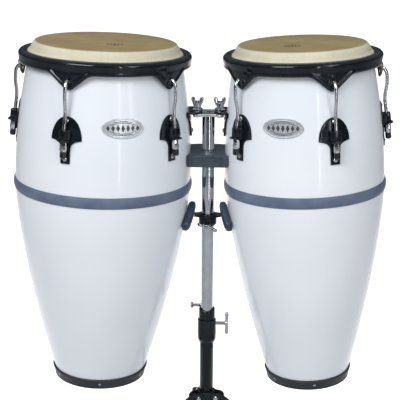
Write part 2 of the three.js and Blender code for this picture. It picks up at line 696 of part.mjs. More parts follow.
// The collar on the lower tube's top: a body, a slit neck with two pinch ears behind, and two screw bores.
function heightCollar() {
  const bore = UPPER_TUBE + RUNNING;
  const seat = LOWER_TUBE + GAP;
  const body = turned([
    [seat, COLLAR_BOTTOM], [seat + 1.5, COLLAR_BOTTOM], [COLLAR_RADIUS, COLLAR_BOTTOM + 7],
    [COLLAR_RADIUS, COLLAR_STEP], [COLLAR_NECK, COLLAR_STEP + 1], [COLLAR_NECK, COLLAR_TOP],
    [bore, COLLAR_TOP], [bore, COLLAR_STEP], [seat, COLLAR_STEP],
  ], TUBE_SIDES);
  const ears = block([-PINCH_EAR, bore + 1, PINCH_SCREW_Z - 12],
    [PINCH_EAR, PINCH_SCREW_Y + 6, PINCH_SCREW_Z + 8]);
  const slit = block([-1, 0, PINCH_SCREW_Z - 14], [1, PINCH_SCREW_Y + 8, PINCH_SCREW_Z + 10]);
  const pinchBore = bar(STUD_RADIUS + RUNNING, -20, 20).rotateY(Math.PI / 2)
    .translate(0, PINCH_SCREW_Y, PINCH_SCREW_Z);
  const screwBore = bar(STUD_RADIUS + RUNNING, 0, 30).rotateY(Math.PI / 2).translate(0, 0, HEIGHT_SCREW_Z);
  const through = bar(bore, COLLAR_STEP + 1, COLLAR_TOP + 20, TUBE_SIDES);
  return cutFrom(joined(body, ears), slit, pinchBore, screwBore, through);
}

// The height screw: a shank and an upright two-lobed grip, about its own Z axis.
function heightScrew() {
  const start = UPPER_TUBE + GAP;
  const grip = alongY(roundedRectangle(GRIP_SPAN, GRIP_BREADTH, GRIP_BREADTH / 2), -3.5, 3.5);
  grip.translate(0, 0, GRIP_REACH);
  return joined(bar(STUD_RADIUS, start, GRIP_REACH + 5), bar(6.5, GRIP_REACH - 4.5, GRIP_REACH + 3.5), grip);
}

// The pinch screw, about its own Z axis, its head at the far end.
function pinchScrew() {
  return joined(bar(STUD_RADIUS - GAP, -PINCH_EAR, PINCH_REACH - 4), bar(7, PINCH_REACH - 6, PINCH_REACH));
}

// Two cheeks and a pin that hold an arm of some breadth; X is outwards and the pin is the Y axis.
function clevis(breadth, pin, shift) {
  const inner = breadth / 2 + GAP;
  const outer = inner + CLEVIS_SHEET;
  const height = LEG_BAR / 2 + CLEVIS_EDGE;
  const cheek = new THREE.Shape();
  cheek.moveTo(-PIVOT_RADIUS + HUB_RADIUS - 4, height);
  cheek.lineTo(-PIVOT_RADIUS + HUB_RADIUS - 4, -height);
  cheek.lineTo(0, -height);
  cheek.absarc(0, 0, height, -Math.PI / 2, Math.PI / 2);
  return [
    alongY(cheek, shift + inner, shift + outer),
    alongY(cheek, shift - outer, shift - inner),
    bar(pin, -outer + 1, outer - 1, BORE_SIDES).rotateX(Math.PI / 2).translate(0, shift, 0),
  ];
}

const LEG_ANGLES = [-25, 95, 215].map(THREE.MathUtils.degToRad);
const BRACE_SHIFT = LEG_BREADTH / 2 + BRACE_SHEET / 2 + 2 * GAP;
const BRACE_DROP = 2 * BRACE_LENGTH * Math.sin(THREE.MathUtils.degToRad(LEG_SLOPE));
const BRACE_Z = HUB_Z - BRACE_DROP;

// A ring of three clevises round the tube, about a height.
function clevisRing(z, breadth, pin, shift, bore) {
  const half = LEG_BAR / 2 + CLEVIS_EDGE;
  const parts = [pipe((bore + HUB_RADIUS) / 2, HUB_RADIUS, z - half, z + half)];
  for (const angle of LEG_ANGLES) {
    for (const cheek of clevis(breadth, pin, shift)) {
      parts.push(cheek.translate(PIVOT_RADIUS, 0, z).rotateZ(angle));
    }
  }
  parts.push(pipe(bore, (bore + HUB_RADIUS) / 2 + 1, z - half, z + half));
  return joined(...parts);
}

function legHub() {
  const bore = LOWER_TUBE + RUNNING;
  const ring = clevisRing(0, LEG_BREADTH, PIN_RADIUS, 0, bore);
  return cutFrom(ring, bar(bore, -LEG_BAR, LEG_BAR, TUBE_SIDES));
}

// The lower tube, open at both ends, with the ring that the braces hinge on near its foot.
function lowerTube() {
  const bore = UPPER_TUBE + RUNNING;
  const top = COLLAR_STEP - GAP;
  const ring = clevisRing(BRACE_Z, BRACE_SHEET, BRACE_PIN, BRACE_SHIFT, LOWER_TUBE - 0.5);
  const screwBore = bar(STUD_RADIUS + RUNNING, 0, 30).rotateY(Math.PI / 2).translate(0, 0, HEIGHT_SCREW_Z);
  const tube = joined(bar(LOWER_TUBE, LOWER_TUBE_BOTTOM, top, TUBE_SIDES));
  return cutFrom(tube.add(ring), bar(bore, LOWER_TUBE_BOTTOM - 1, top + 1, TUBE_SIDES), screwBore);
}

// A leg about its pivot, X outwards: a bar with a round eye, sloping down to a shoe with a flat sole.
function leg() {
  const half = LEG_BAR / 2;
  const shape = new THREE.Shape();
  shape.absarc(0, 0, half, Math.PI / 2, 1.5 * Math.PI);
  shape.lineTo(LEG_LENGTH, -half);
  shape.lineTo(LEG_LENGTH, half);
  const slope = THREE.MathUtils.degToRad(LEG_SLOPE);
  const beam = alongY(shape, -LEG_BREADTH / 2, LEG_BREADTH / 2).rotateY(slope);
  const reach = LEG_LENGTH * Math.cos(slope);
  const sole = raised(roundedRectangle(FOOT_LENGTH, FOOT_BREADTH, 6), -HUB_Z, -HUB_Z + FOOT_HEIGHT);
  const underFloor = block([0, -FOOT_BREADTH, -HUB_Z - LEG_BAR], [2 * reach, FOOT_BREADTH, -HUB_Z]);
  const eye = bar(PIN_RADIUS + RUNNING, -LEG_BREADTH, LEG_BREADTH).rotateX(Math.PI / 2);
  return cutFrom(joined(beam, sole.translate(reach - FOOT_LENGTH / 3, 0, 0)), underFloor, eye);
}

// A brace about its pivot on the tube: a flat link rising to the leg's joint.
function brace() {
  const half = BRACE_BAR / 2;
  const shape = new THREE.Shape();
  shape.absarc(0, 0, half, Math.PI / 2, 1.5 * Math.PI);
  shape.absarc(BRACE_LENGTH, 0, half, -Math.PI / 2, Math.PI / 2);
  const link = alongY(shape, BRACE_SHIFT - BRACE_SHEET / 2, BRACE_SHIFT + BRACE_SHEET / 2);
  const eye = bar(BRACE_PIN + RUNNING, 0, 2 * BRACE_SHIFT).rotateX(-Math.PI / 2);
  return cutFrom(solid(link.rotateY(-THREE.MathUtils.degToRad(LEG_SLOPE))), eye);
}

function addStand(stand) {
  piece('lower_tube', lowerTube(), 'blackPaint', stand);
  piece('height_collar', heightCollar(), 'blackPaint', stand);
  const screwGroup = placed(stand, 0, 0, HEIGHT_SCREW_Z);
  screwGroup.rotation.y = Math.PI / 2;
  piece('height_screw', heightScrew(), 'chrome', screwGroup);
  const pinchGroup = placed(stand, 0, PINCH_SCREW_Y, PINCH_SCREW_Z);
  pinchGroup.rotation.y = -Math.PI / 2;
  piece('pinch_screw', pinchScrew(), 'chrome', pinchGroup);
  piece('upper_tube', upperTube(), 'chrome', stand);
  piece('top_plate', topPlate(), 'chrome', stand);
  piece('cushion_block', cushionBlock(), 'rubber', stand);
  const flangeTop = PLATE_HEIGHT + GAP + FLANGE + GAP;
  DRUMS.forEach((drum) => {
    const bolt = placed(stand, drum.side * BOLT_SPACING / 2, 0, flangeTop);
    piece(`plate_wing_${drum.label}`, wingScrew({
      shank: FLANGE + BOSS_LENGTH, shankRadius: STUD_RADIUS, hubRadius: 6, hubHeight: 15, span: 25, rise: 25,
      sheet: 3.5, washer: 10.5,
    }), 'chrome', bolt);
  });
  piece('bumper_yoke', bumperYoke(), 'blackPaint', stand);
  const yokeScrewHeight = PLATE_HEIGHT - YOKE_TOP - YOKE_SCREW_DROP;
  const yokeScrew = placed(stand, 0, -YOKE_COLLAR - YOKE_BOSS - GAP, yokeScrewHeight);
  yokeScrew.rotation.x = Math.PI / 2;
  piece('yoke_wing', wingScrew({
    shank: YOKE_COLLAR + YOKE_BOSS - UPPER_TUBE, shankRadius: STUD_RADIUS, hubRadius: 6, hubHeight: 11,
    span: 42, rise: 13, sheet: 5,
  }), 'chrome', yokeScrew);
  DRUMS.forEach((drum) => {
    const pad = new THREE.Group();
    drumFrame(drum).decompose(pad.position, pad.quaternion, pad.scale);
    stand.add(pad);
    piece(`bumper_${drum.label}`, bumper(drum), 'rubber', pad);
  });
  const hub = placed(stand, 0, 0, HUB_Z);
  piece('leg_hub', legHub(), 'blackPaint', hub);
  LEG_ANGLES.forEach((angle, k) => {
    const spoke = placed(stand, 0, 0, 0);
    spoke.rotation.z = angle;
    piece(`leg_${k + 1}`, leg(), 'blackPaint', placed(spoke, PIVOT_RADIUS, 0, HUB_Z));
    piece(`brace_${k + 1}`, brace(), 'blackPaint', placed(spoke, PIVOT_RADIUS, 0, BRACE_Z));
  });
}

// ---- The whole, standing on Z = 0 with the middle of its outline over the origin ----------------------

const whole = new THREE.Group();
const stand = placed(whole, 0, 0, 0);
addStand(stand);
DRUMS.forEach((drum) => addDrum(drum, stand));
whole.updateMatrixWorld(true);
const extent = new THREE.Box3().setFromObject(whole, true);
const middle = extent.getCenter(new THREE.Vector3());
stand.position.set(-middle.x, -middle.y, -extent.min.z);
whole.updateMatrixWorld(true);

export default whole;
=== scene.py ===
"""A pair of conga drums on a double stand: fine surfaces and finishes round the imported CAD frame.

Forms are drawn in millimetres, each in the frame of the drum, screw or joint that it belongs to.
"""

import json
import math

import bmesh
import bpy
import numpy as np
from mathutils import Matrix, Vector
from mathutils.geometry import delaunay_2d_cdt


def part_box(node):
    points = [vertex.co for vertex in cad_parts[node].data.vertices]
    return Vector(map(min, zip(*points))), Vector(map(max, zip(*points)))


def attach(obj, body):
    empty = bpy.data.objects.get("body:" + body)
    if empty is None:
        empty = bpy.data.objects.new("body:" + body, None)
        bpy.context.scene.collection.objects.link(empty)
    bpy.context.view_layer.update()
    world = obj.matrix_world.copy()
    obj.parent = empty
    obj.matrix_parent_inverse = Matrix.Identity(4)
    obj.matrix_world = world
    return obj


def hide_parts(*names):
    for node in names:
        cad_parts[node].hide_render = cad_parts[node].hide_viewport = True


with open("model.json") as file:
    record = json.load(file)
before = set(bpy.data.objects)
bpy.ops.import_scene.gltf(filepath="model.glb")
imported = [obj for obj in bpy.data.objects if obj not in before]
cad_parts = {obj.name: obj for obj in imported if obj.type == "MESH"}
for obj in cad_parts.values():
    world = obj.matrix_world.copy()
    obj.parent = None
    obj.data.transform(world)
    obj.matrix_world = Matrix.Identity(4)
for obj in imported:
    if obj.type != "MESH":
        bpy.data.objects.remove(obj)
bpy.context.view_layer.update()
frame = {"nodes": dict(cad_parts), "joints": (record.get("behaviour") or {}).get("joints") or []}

MM = 0.001
FULL = 2 * math.pi
ON_AXIS = 1e-6
JOINTS = {joint["name"]: joint for joint in frame["joints"]}

# ---- Forms: vertices in millimetres and the faces that join them ---------------------------------------


class Form:
    def __init__(self, vertices, faces):
        self.vertices = [Vector(vertex) for vertex in vertices]
        self.faces = faces

    def __add__(self, other):
        shift = len(self.vertices)
        faces = [tuple(k + shift for k in face) for face in other.faces]
        return Form(self.vertices + other.vertices, self.faces + faces)

    def moved(self, matrix):
        return Form([matrix @ vertex for vertex in self.vertices], self.faces)

    def at(self, x, y, z):
        return self.moved(Matrix.Translation((x, y, z)))

    def turned(self, degrees, axis):
        return self.moved(Matrix.Rotation(math.radians(degrees), 4, axis))

    def bent(self, rule):
        return Form([rule(vertex) for vertex in self.vertices], self.faces)


def together(forms):
    forms = list(forms)
    whole = forms[0]
    for form in forms[1:]:
        whole = whole + form
    return whole


def rounded(points, closed=False, steps=4):
    """A line of (x, y, radius) or (x, y) points with an arc at each corner that has a radius."""
    line = []
    count = len(points)
    for k, point in enumerate(points):
        here = Vector(point[:2])
        radius = point[2] if len(point) > 2 else 0
        if radius == 0 or (not closed and k in (0, count - 1)):
            line.append(tuple(here))
            continue
        before = Vector(points[k - 1][:2]) - here
        after = Vector(points[(k + 1) % count][:2]) - here
        half = before.angle(after) / 2
        reach = min(radius / math.tan(half), 0.49 * before.length, 0.49 * after.length)
        start = here + before.normalized() * reach
        end = here + after.normalized() * reach
        for step in range(steps + 1):
            t = step / steps
            line.append(tuple(start * (1 - t) ** 2 + here * 2 * t * (1 - t) + end * t**2))
    return line


def arc(x, y, radius, start, end, steps=16):
    """Points round part of a circle, between two angles in degrees."""
    angles = [math.radians(start + (end - start) * k / steps) for k in range(steps + 1)]
    return [(x + radius * math.cos(angle), y + radius * math.sin(angle)) for angle in angles]


def curved(start, control, end, steps=8):
    """Points along a bend from start to end, drawn towards the control point."""
    a, b, c = Vector(start), Vector(control), Vector(end)
    shares = [k / steps for k in range(steps + 1)]
    return [tuple(a * (1 - t) ** 2 + b * 2 * t * (1 - t) + c * t**2) for t in shares]


def circle(radius, steps, x=0.0):
    return arc(x, 0, radius, 0, 360, steps)[:-1]


def slab(length, breadth, radius):
    """A rectangle about the origin with round corners."""
    x, y = length / 2, breadth / 2
    return rounded([(x, -y, radius), (x, y, radius), (-x, y, radius), (-x, -y, radius)], closed=True, steps=8)


def skin(rings):
    """The faces between neighbouring rings of vertex numbers. A ring on an axis repeats one number."""
    faces = []
    for low, high in zip(rings, rings[1:]):
        for k in range(len(low)):
            n = (k + 1) % len(low)
            corners = dict.fromkeys((low[k], low[n], high[n], high[k]))
            if len(corners) > 2:
                faces.append(tuple(corners))
    return faces


def lathe(outline, sides, swell=None):
    """A form turned about Z from an outline of (radius, height) points that starts and ends on the axis
    or, as a ring's section does, closes on itself. swell(angle, radius, height) gives back a new height."""
    swell = swell or (lambda angle, radius, height: height)
    vertices, rings = [], []
    for radius, height in outline:
        if radius < ON_AXIS:
            rings.append([len(vertices)] * sides)
            vertices.append((0, 0, swell(0, 0, height)))
            continue
        rings.append(list(range(len(vertices), len(vertices) + sides)))
        for k in range(sides):
            angle = FULL * k / sides
            z = swell(angle, radius, height)
            vertices.append((radius * math.cos(angle), radius * math.sin(angle), z))
    if outline[0][0] > ON_AXIS:
        rings.append(rings[0])
    return Form(vertices, skin(rings))


def spun(points, sides, steps=4, swell=None):
    """A lathe form from a line whose corners are rounded first."""
    return lathe(rounded(points, steps=steps), sides, swell)


def split(outline, spacing):
    """The same closed outline with its long stretches cut into short ones."""
    line = []
    for (ax, ay), (bx, by) in zip(outline, outline[1:] + outline[:1]):
        length = math.hypot(bx - ax, by - ay)
        if length < 1e-4:
            continue
        count = max(1, round(length / spacing))
        line += [(ax + (bx - ax) * k / count, ay + (by - ay) * k / count) for k in range(count)]
    return line


def area(loop):
    x, y = np.array(loop).T
    return 0.5 * float(np.sum(x * np.roll(y, -1) - y * np.roll(x, -1)))


def inset(loop, distance):
    """A closed outline moved inwards; an anticlockwise one shrinks."""
    points = np.array(loop)
    ahead = np.roll(points, -1, 0) - points
    ahead /= np.linalg.norm(ahead, axis=1)[:, None]
    behind = np.roll(ahead, 1, 0)
    normal = np.stack([-(ahead + behind)[:, 1], (ahead + behind)[:, 0]], 1)
    normal /= np.maximum(np.linalg.norm(normal, axis=1)[:, None], 1e-9)
    across = np.stack([-ahead[:, 1], ahead[:, 0]], 1)
    stretch = np.clip((normal * across).sum(1), 0.5, 1)[:, None]
    return points + normal * distance / stretch


def inside(points, loop):
    """Which of the points lie inside a closed outline."""
    x, y = points[:, 0], points[:, 1]
    found = np.zeros(len(points), bool)
    for (ax, ay), (bx, by) in zip(loop, np.roll(loop, -1, 0)):
        if ay == by:
            continue
        crosses = ((ay > y) != (by > y)) & (x < (bx - ax) * (y - ay) / (by - ay) + ax)
        found ^= crosses
    return found


def plate(outline, low, high, edge=0.6, spacing=4.0, holes=(), both=True, steps=3, belts=0):
    """A flat plate between two heights, its outline drawn in X and Y, with softened edges on top or on both
    sides. Its faces are filled with small triangles, so that it can be bent round another form, and belts
    adds lines round its wall."""
    loops = [split(outline, spacing)] + [split(hole, spacing) for hole in holes]
    loops = [loop if (area(loop) > 0) == (k == 0) else loop[::-1] for k, loop in enumerate(loops)]
    angles = [math.pi / 2 * k / steps for k in range(steps + 1)]
    levels = [(edge * (1 - math.cos(a)), high - edge * (1 - math.sin(a))) for a in angles]
    middle = [(0, low + edge + (high - low - 2 * edge) * k / (belts + 1)) for k in range(1, belts + 1)]
    if both:
        levels = [(back, low + high - z) for back, z in reversed(levels)] + middle + levels
    else:
        levels = [(0, low)] + levels
    vertices, faces, tops, bottoms = [], [], [], []
    for loop in loops:
        rings = []
        for back, z in levels:
            rings.append(range(len(vertices), len(vertices) + len(loop)))
            vertices += [(x, y, z) for x, y in inset(loop, back)]
        faces += skin(rings)
        tops.append(rings[-1])
        bottoms.append(rings[0])
    rims = [np.array([vertices[k][:2] for k in ring]) for ring in tops]

    def within(spots):
        kept = inside(spots, rims[0])
        for ring in rims[1:]:
            kept &= ~inside(spots, ring)
        return kept

    border = np.concatenate(rims)
    least, most = border.min(0), border.max(0)
    columns = np.arange(least[0] + spacing / 2, most[0], spacing)
    rows = np.arange(least[1] + spacing / 2, most[1], spacing)
    grid = np.array([(x, y) for y in rows for x in columns]).reshape(-1, 2)
    grid = grid[within(grid)]
    grid = grid[np.linalg.norm(grid[:, None] - border[None], axis=2).min(1) > 0.45 * spacing]
    starts = np.cumsum([0] + [len(ring) for ring in rims])
    edges = [(at + k, at + (k + 1) % len(ring)) for at, ring in zip(starts, rims) for k in range(len(ring))]
    points = [Vector(p) for p in border] + [Vector(p) for p in grid]
    found, _, triangles, sources, _, _ = delaunay_2d_cdt(points, edges, [], 0, 1e-5)
    middles = np.array([sum((found[k] for k in face), Vector((0, 0))) / 3 for face in triangles])
    grid_top = len(vertices)
    vertices += [(x, y, levels[-1][1]) for x, y in grid]
    grid_bottom = len(vertices)
    vertices += [(x, y, levels[0][1]) for x, y in grid]
    on_top = [k for ring in tops for k in ring] + list(range(grid_top, grid_bottom))
    on_bottom = [k for ring in bottoms for k in ring] + list(range(grid_bottom, len(vertices)))
    upper, lower = {}, {}
    for k, source in enumerate(sources):
        if source:
            upper[k], lower[k] = on_top[source[0]], on_bottom[source[0]]
        else:
            upper[k], lower[k] = len(vertices), len(vertices) + 1
            vertices += [(*found[k], levels[-1][1]), (*found[k], levels[0][1])]
    for face, wanted in zip(triangles, within(middles)):
        if wanted:
            faces.append(tuple(upper[k] for k in face))
            faces.append(tuple(lower[k] for k in reversed(face)))
    return Form(vertices, faces)


def form_of(mesh, unit=1.0):
    return Form([v.co / unit for v in mesh.vertices], [tuple(f.vertices) for f in mesh.polygons])


def rod(points, radius, steps, roundness):
    """A round rod along a smooth line through the points."""
    curve = bpy.data.curves.new("rod", "CURVE")
    curve.dimensions = "3D"
    curve.bevel_depth = radius
    curve.bevel_resolution = roundness
    curve.resolution_u = steps
    curve.use_fill_caps = True
    spline = curve.splines.new("BEZIER")
    spline.bezier_points.add(len(points) - 1)
    for knot, point in zip(spline.bezier_points, points):
        knot.co = point
        knot.handle_left_type = knot.handle_right_type = "AUTO"
    holder = bpy.data.objects.new("rod", curve)
    mesh = bpy.data.meshes.new_from_object(holder)
    form = form_of(mesh)
    bpy.data.objects.remove(holder)
    bpy.data.curves.remove(curve)
    bpy.data.meshes.remove(mesh)
    return form


def alongx(form):
    """Turns a plate drawn in (Y, Z) so that its thickness lies along X."""
    return form.moved(Matrix(((0, 0, 1, 0), (1, 0, 0, 0), (0, 1, 0, 0), (0, 0, 0, 1))))


def alongy(form):
    """Turns a plate drawn in (X, Z) so that its thickness lies along -Y."""
    return form.moved(Matrix(((1, 0, 0, 0), (0, 0, -1, 0), (0, 1, 0, 0), (0, 0, 0, 1))))


def mesh_of(name, form, sharp=38):
    """A mesh in metres with its faces turned outwards and its hard edges kept."""
    mesh = bpy.data.meshes.new(name)
    mesh.from_pydata([vertex * MM for vertex in form.vertices], [], form.faces)
    work = bmesh.new()
    work.from_mesh(mesh)
    bmesh.ops.remove_doubles(work, verts=work.verts, dist=1e-7)
    bmesh.ops.recalc_face_normals(work, faces=work.faces)
    work.to_mesh(mesh)
    work.free()
    mesh.shade_smooth()
    mesh.set_sharp_from_angle(angle=math.radians(sharp))
    return mesh


def placed(name, data, place=Matrix()):
    """A new object in the scene."""
    made = bpy.data.objects.new(name, data)
    bpy.context.scene.collection.objects.link(made)
    made.matrix_world = place
    return made


def piece(name, form, finish, body, place, stands_for=(), sharp=38):
    """A visible piece: its form set in a place, given a finish, and riding on a body."""
    slot, look = FINISHES[finish]
    mesh = mesh_of(name, form, sharp)
    mesh.materials.append(look.material)
    made = placed(name, mesh, place)
    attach(made, body)
    if stands_for:
        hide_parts(*stands_for)


def cut_out(name, form, cutter):
    """The form with another cut out of it."""
    whole = placed(name, mesh_of(name, form))
    tool = placed(name + "_cutter", mesh_of(name + "_cutter", cutter))
    cut = whole.modifiers.new("cut", "BOOLEAN")
    cut.operation = "DIFFERENCE"
    cut.solver = "EXACT"
    cut.object = tool
    bpy.context.view_layer.update()
    result = bpy.data.meshes.new_from_object(whole.evaluated_get(bpy.context.evaluated_depsgraph_get()))
    form = form_of(result, MM)
    for mesh in (whole.data, tool.data, result):
        bpy.data.meshes.remove(mesh)
    return form


# ---- Finishes ------------------------------------------------------------------------------------------


class Finish:
    """A material round one Principled shader, with short ways to add detail to it."""

    def __init__(self, name, colour, roughness, metallic=0.0):
        self.material = bpy.data.materials.new(name)
        self.material.use_nodes = True
        self.tree = self.material.node_tree
        self.shader = self.tree.nodes["Principled BSDF"]
        self.shader.inputs["Base Color"].default_value = (*colour, 1)
        self.shader.inputs["Roughness"].default_value = roughness
        self.shader.inputs["Metallic"].default_value = metallic
        self.place = self.tree.nodes.new("ShaderNodeTexCoord").outputs["Object"]
        self.height = None

    def node(self, kind, **settings):
        made = self.tree.nodes.new(kind)
        for key, value in settings.items():
            setattr(made, key, value)
        return made

    def link(self, output, socket):
        self.tree.links.new(output, socket)

    def specular(self, level):
        self.shader.inputs["Specular IOR Level"].default_value = level

    def stretched(self, x, y, z):
        made = self.node("ShaderNodeMapping")
        made.inputs["Scale"].default_value = (x, y, z)
        self.link(self.place, made.inputs["Vector"])
        return made.outputs["Vector"]

    def noise(self, scale, detail=3.0, rough=0.5, place=None, distortion=0.0):
        made = self.node("ShaderNodeTexNoise")
        made.inputs["Scale"].default_value = scale
        made.inputs["Detail"].default_value = detail
        made.inputs["Roughness"].default_value = rough
        made.inputs["Distortion"].default_value = distortion
        self.link(place or self.place, made.inputs["Vector"])
        return made.outputs["Fac"]

    def ramp(self, value, *stops):
        """Colours or greys at positions along a value."""
        made = self.node("ShaderNodeValToRGB")
        ramp = made.color_ramp
        while len(ramp.elements) < len(stops):
            ramp.elements.new(1)
        for element, (position, colour) in zip(ramp.elements, stops):
            element.position = position
            element.color = (*colour, 1) if isinstance(colour, tuple) else (colour, colour, colour, 1)
        self.link(value, made.inputs["Fac"])
        return made.outputs["Color"]

    def mixed(self, share, first, second, blend="MIX"):
        made = self.node("ShaderNodeMix", data_type="RGBA", blend_type=blend)
        for value, name in ((share, "Factor"), (first, "A"), (second, "B")):
            sockets = [s for s in made.inputs if s.name == name and s.enabled]
            if isinstance(value, (int, float)):
                sockets[0].default_value = value
            elif isinstance(value, tuple):
                sockets[0].default_value = (*value, 1)
            else:
                self.link(value, sockets[0])
        return [s for s in made.outputs if s.enabled][0]

    def axis(self, name):
        made = self.node("ShaderNodeSeparateXYZ")
        self.link(self.place, made.inputs[0])
        return made.outputs[name]

    def between(self, value, low, high, to_low=0.0, to_high=1.0):
        made = self.node("ShaderNodeMapRange", interpolation_type="SMOOTHSTEP")
        for socket, number in zip(made.inputs[1:5], (low, high, to_low, to_high)):
            socket.default_value = number
        self.link(value, made.inputs["Value"])
        return made.outputs["Result"]

    def colour(self, output):
        self.link(output, self.shader.inputs["Base Color"])

    def rough(self, output):
        self.link(output, self.shader.inputs["Roughness"])

    def bump(self, output, depth):
        """Raises the surface by a depth in millimetres where the output is 1."""
        made = self.node("ShaderNodeBump")
        made.inputs["Distance"].default_value = depth * MM
        made.inputs["Strength"].default_value = 1.0
        self.link(output, made.inputs["Height"])
        if self.height is not None:
            self.link(self.height, made.inputs["Normal"])
        self.height = made.outputs["Normal"]
        self.link(self.height, self.shader.inputs["Normal"])

    def coat(self, weight, roughness):
        self.shader.inputs["Coat Weight"].default_value = weight
        self.shader.inputs["Coat Roughness"].default_value = roughness
        return self


def lacquer():
    made = Finish("lacquer", (0.78, 0.82, 0.88), 0.22)
    drift = made.noise(5.0, 2.0)
    made.colour(made.ramp(drift, (0.3, (0.76, 0.795, 0.85)), (0.7, (0.81, 0.84, 0.885))))
    made.bump(made.noise(140.0, 1.0), 0.02)
    made.bump(made.noise(26.0, 1.0), 0.05)
    made.specular(0.22)
    return made.coat(0.2, 0.02)


def hide(label):
    """Rawhide: tan and mottled over the playing face, paler down the collar, with short fibres. The mottling
    is the hide's own tone; the darker face carries painted shade and the paler collar carries painted light.
    """
    radius = DRUMS[label]["head"] * MM
    made = Finish("hide_" + label, (0.6, 0.5, 0.36), 0.55)
    cloud = made.noise(16.0, 5.0, 0.62, distortion=0.6)
    fibres = made.noise(90.0, 4.0, 0.7, place=made.stretched(1, 9, 1))
    cross = made.noise(70.0, 4.0, 0.7, place=made.stretched(8, 1, 1))
    # The face's tans are the hide's tone darkened with painted shade for the upward face; the collar's paler
    # ramp below carries painted light for the front-lit collar.
    hide_tans_and_shade = (0.24, 0.175, 0.075), (0.29, 0.22, 0.10), (0.35, 0.275, 0.14)
    face = made.ramp(cloud, *zip((0.25, 0.5, 0.75), hide_tans_and_shade))
    face = made.mixed(0.25, face, made.ramp(fibres, (0.3, 0.35), (0.7, 0.75)), "OVERLAY")
    collar = made.ramp(cloud, (0.25, (0.53, 0.50, 0.37)), (0.75, (0.65, 0.62, 0.50)))
    collar = made.mixed(0.2, collar, made.ramp(cross, (0.3, 0.35), (0.7, 0.7)), "OVERLAY")
    # Mask from the collar's painted light to the face's painted shade, across the head's edge.
    low = made.between(made.axis("Z"), -2.6 * MM, -0.5 * MM)
    length = made.node("ShaderNodeVectorMath", operation="LENGTH")
    made.link(made.place, length.inputs[0])
    worn = made.between(length.outputs["Value"], 0.2 * radius, 1.0 * radius, 0.0, 0.35)
    face = made.mixed(worn, face, (0.26, 0.20, 0.09))
    made.colour(made.mixed(low, collar, face))
    made.rough(made.between(cloud, 0.3, 0.7, 0.48, 0.66))
    made.bump(fibres, 0.08)
    made.bump(cloud, 0.25)
    made.specular(0.3)
    return made


def handled(name, colour, roughness, marks, gain, dust, start, polish):
    """A finish whose cloudy marks are paler and rougher than the rest."""
    made = Finish(name, colour, roughness)
    cloud = made.noise(*marks)
    paler = tuple(min(1, gain * c + dust) for c in colour)
    made.colour(made.mixed(made.between(cloud, start, 0.75), colour, paler))
    made.rough(made.between(cloud, 0.3, 0.7, roughness - polish, roughness + 0.1))
    return made


def paint(name, colour, roughness, grain):
    """Stove enamel over steel: near black, with faint orange peel and handling marks."""
    made = handled(name, colour, roughness, (35.0, 6.0, 0.65), 1.5, 0.004, 0.45, 0.07)
    made.bump(made.noise(420.0, 2.0), grain)
    made.specular(0.26)
    return made.coat(0.15, 0.03)


def rubber(name, colour, roughness, grain):
    """Moulded rubber, a little dusty and finely grained."""
    made = handled(name, colour, roughness, (22.0, 5.0, 0.6), 1.35, 0.012, 0.35, 0.06)
    made.bump(made.noise(700.0, 3.0, 0.6), grain)
    return made


def plated(name, dark, light, roughness, ripple):
    """Plating with faint smears and a slow ripple in its polish."""
    made = Finish(name, light, roughness, 1.0)
    smears = made.noise(55.0, 5.0, 0.6, distortion=0.4)
    made.colour(made.ramp(smears, (0.35, dark), (0.65, light)))
    made.rough(made.between(smears, 0.35, 0.75, 0.6 * roughness, 1.7 * roughness))
    made.bump(made.noise(18.0, 1.0), ripple)
    return made


def badge_metal():
    """Silver, brushed along its length."""
    made = Finish("badge_silver", (0.6, 0.62, 0.65), 0.3, 0.55)
    brushed = made.noise(160.0, 4.0, 0.7, place=made.stretched(1, 1, 14))
    made.colour(made.ramp(brushed, (0.3, (0.50, 0.53, 0.57)), (0.7, (0.68, 0.7, 0.73))))
    made.rough(made.between(brushed, 0.3, 0.7, 0.22, 0.4))
    made.bump(brushed, 0.03)
    return made


DRUMS = {
    "11": {"side": -1, "head": 139.7, "belly": 178.5, "foot": 91.0},
    "10": {"side": 1, "head": 127.0, "belly": 162.3, "foot": 82.7},
}
FINISHES = {
    "lacquer": ("lacquer", lacquer()),
    "hide_11": ("hide", hide("11")),
    "hide_10": ("hide", hide("10")),
    "enamel": ("black_paint", paint("enamel", (0.004, 0.007, 0.011), 0.13, 0.003)),
    "satin": ("black_paint", paint("satin", (0.003, 0.006, 0.008), 0.2, 0.008)),
    "chrome": ("chrome", plated("chrome", (0.50, 0.51, 0.54), (0.60, 0.61, 0.64), 0.07, 0.003)),
    "nickel": ("chrome", plated("nickel", (0.34, 0.35, 0.38), (0.56, 0.57, 0.60), 0.12, 0.03)),
    "bright": ("chrome", plated("bright", (0.78, 0.79, 0.82), (0.88, 0.89, 0.91), 0.26, 0.02)),
    "grey_rubber": ("grey_rubber", rubber("grey_rubber", (0.095, 0.125, 0.19), 0.45, 0.04)),
    "block_rubber": ("grey_rubber", rubber("block_rubber", (0.035, 0.05, 0.07), 0.3, 0.03)),
    "pad_rubber": ("grey_rubber", rubber("pad_rubber", (0.018, 0.035, 0.055), 0.33, 0.03)),
    "black_rubber": ("black_rubber", rubber("black_rubber", (0.01, 0.014, 0.018), 0.5, 0.03)),
    "cap": ("black_rubber", rubber("cap", (0.005, 0.007, 0.009), 0.22, 0.01)),
    "badge": ("chrome", badge_metal()),
    "badge_dark": ("black_paint", paint("badge_dark", (0.05, 0.058, 0.07), 0.3, 0.01)),
    "ink": ("black_paint", paint("ink", (0.07, 0.06, 0.045), 0.6, 0.004)),
}

# ---- Places, read from the frame -----------------------------------------------------------------------


def centre(node):
    low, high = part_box(node)
    return (low + high) / 2


TUBE = Matrix.Translation((centre("upper_tube").x, centre("upper_tube").y, 0))
PLATE_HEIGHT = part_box("top_plate")[1].z / MM


def joint_spot(name):
    return Vector(JOINTS[name]["pos_m"])


def turned_about(degrees, axis):
    return Matrix.Rotation(math.radians(degrees), 4, axis)


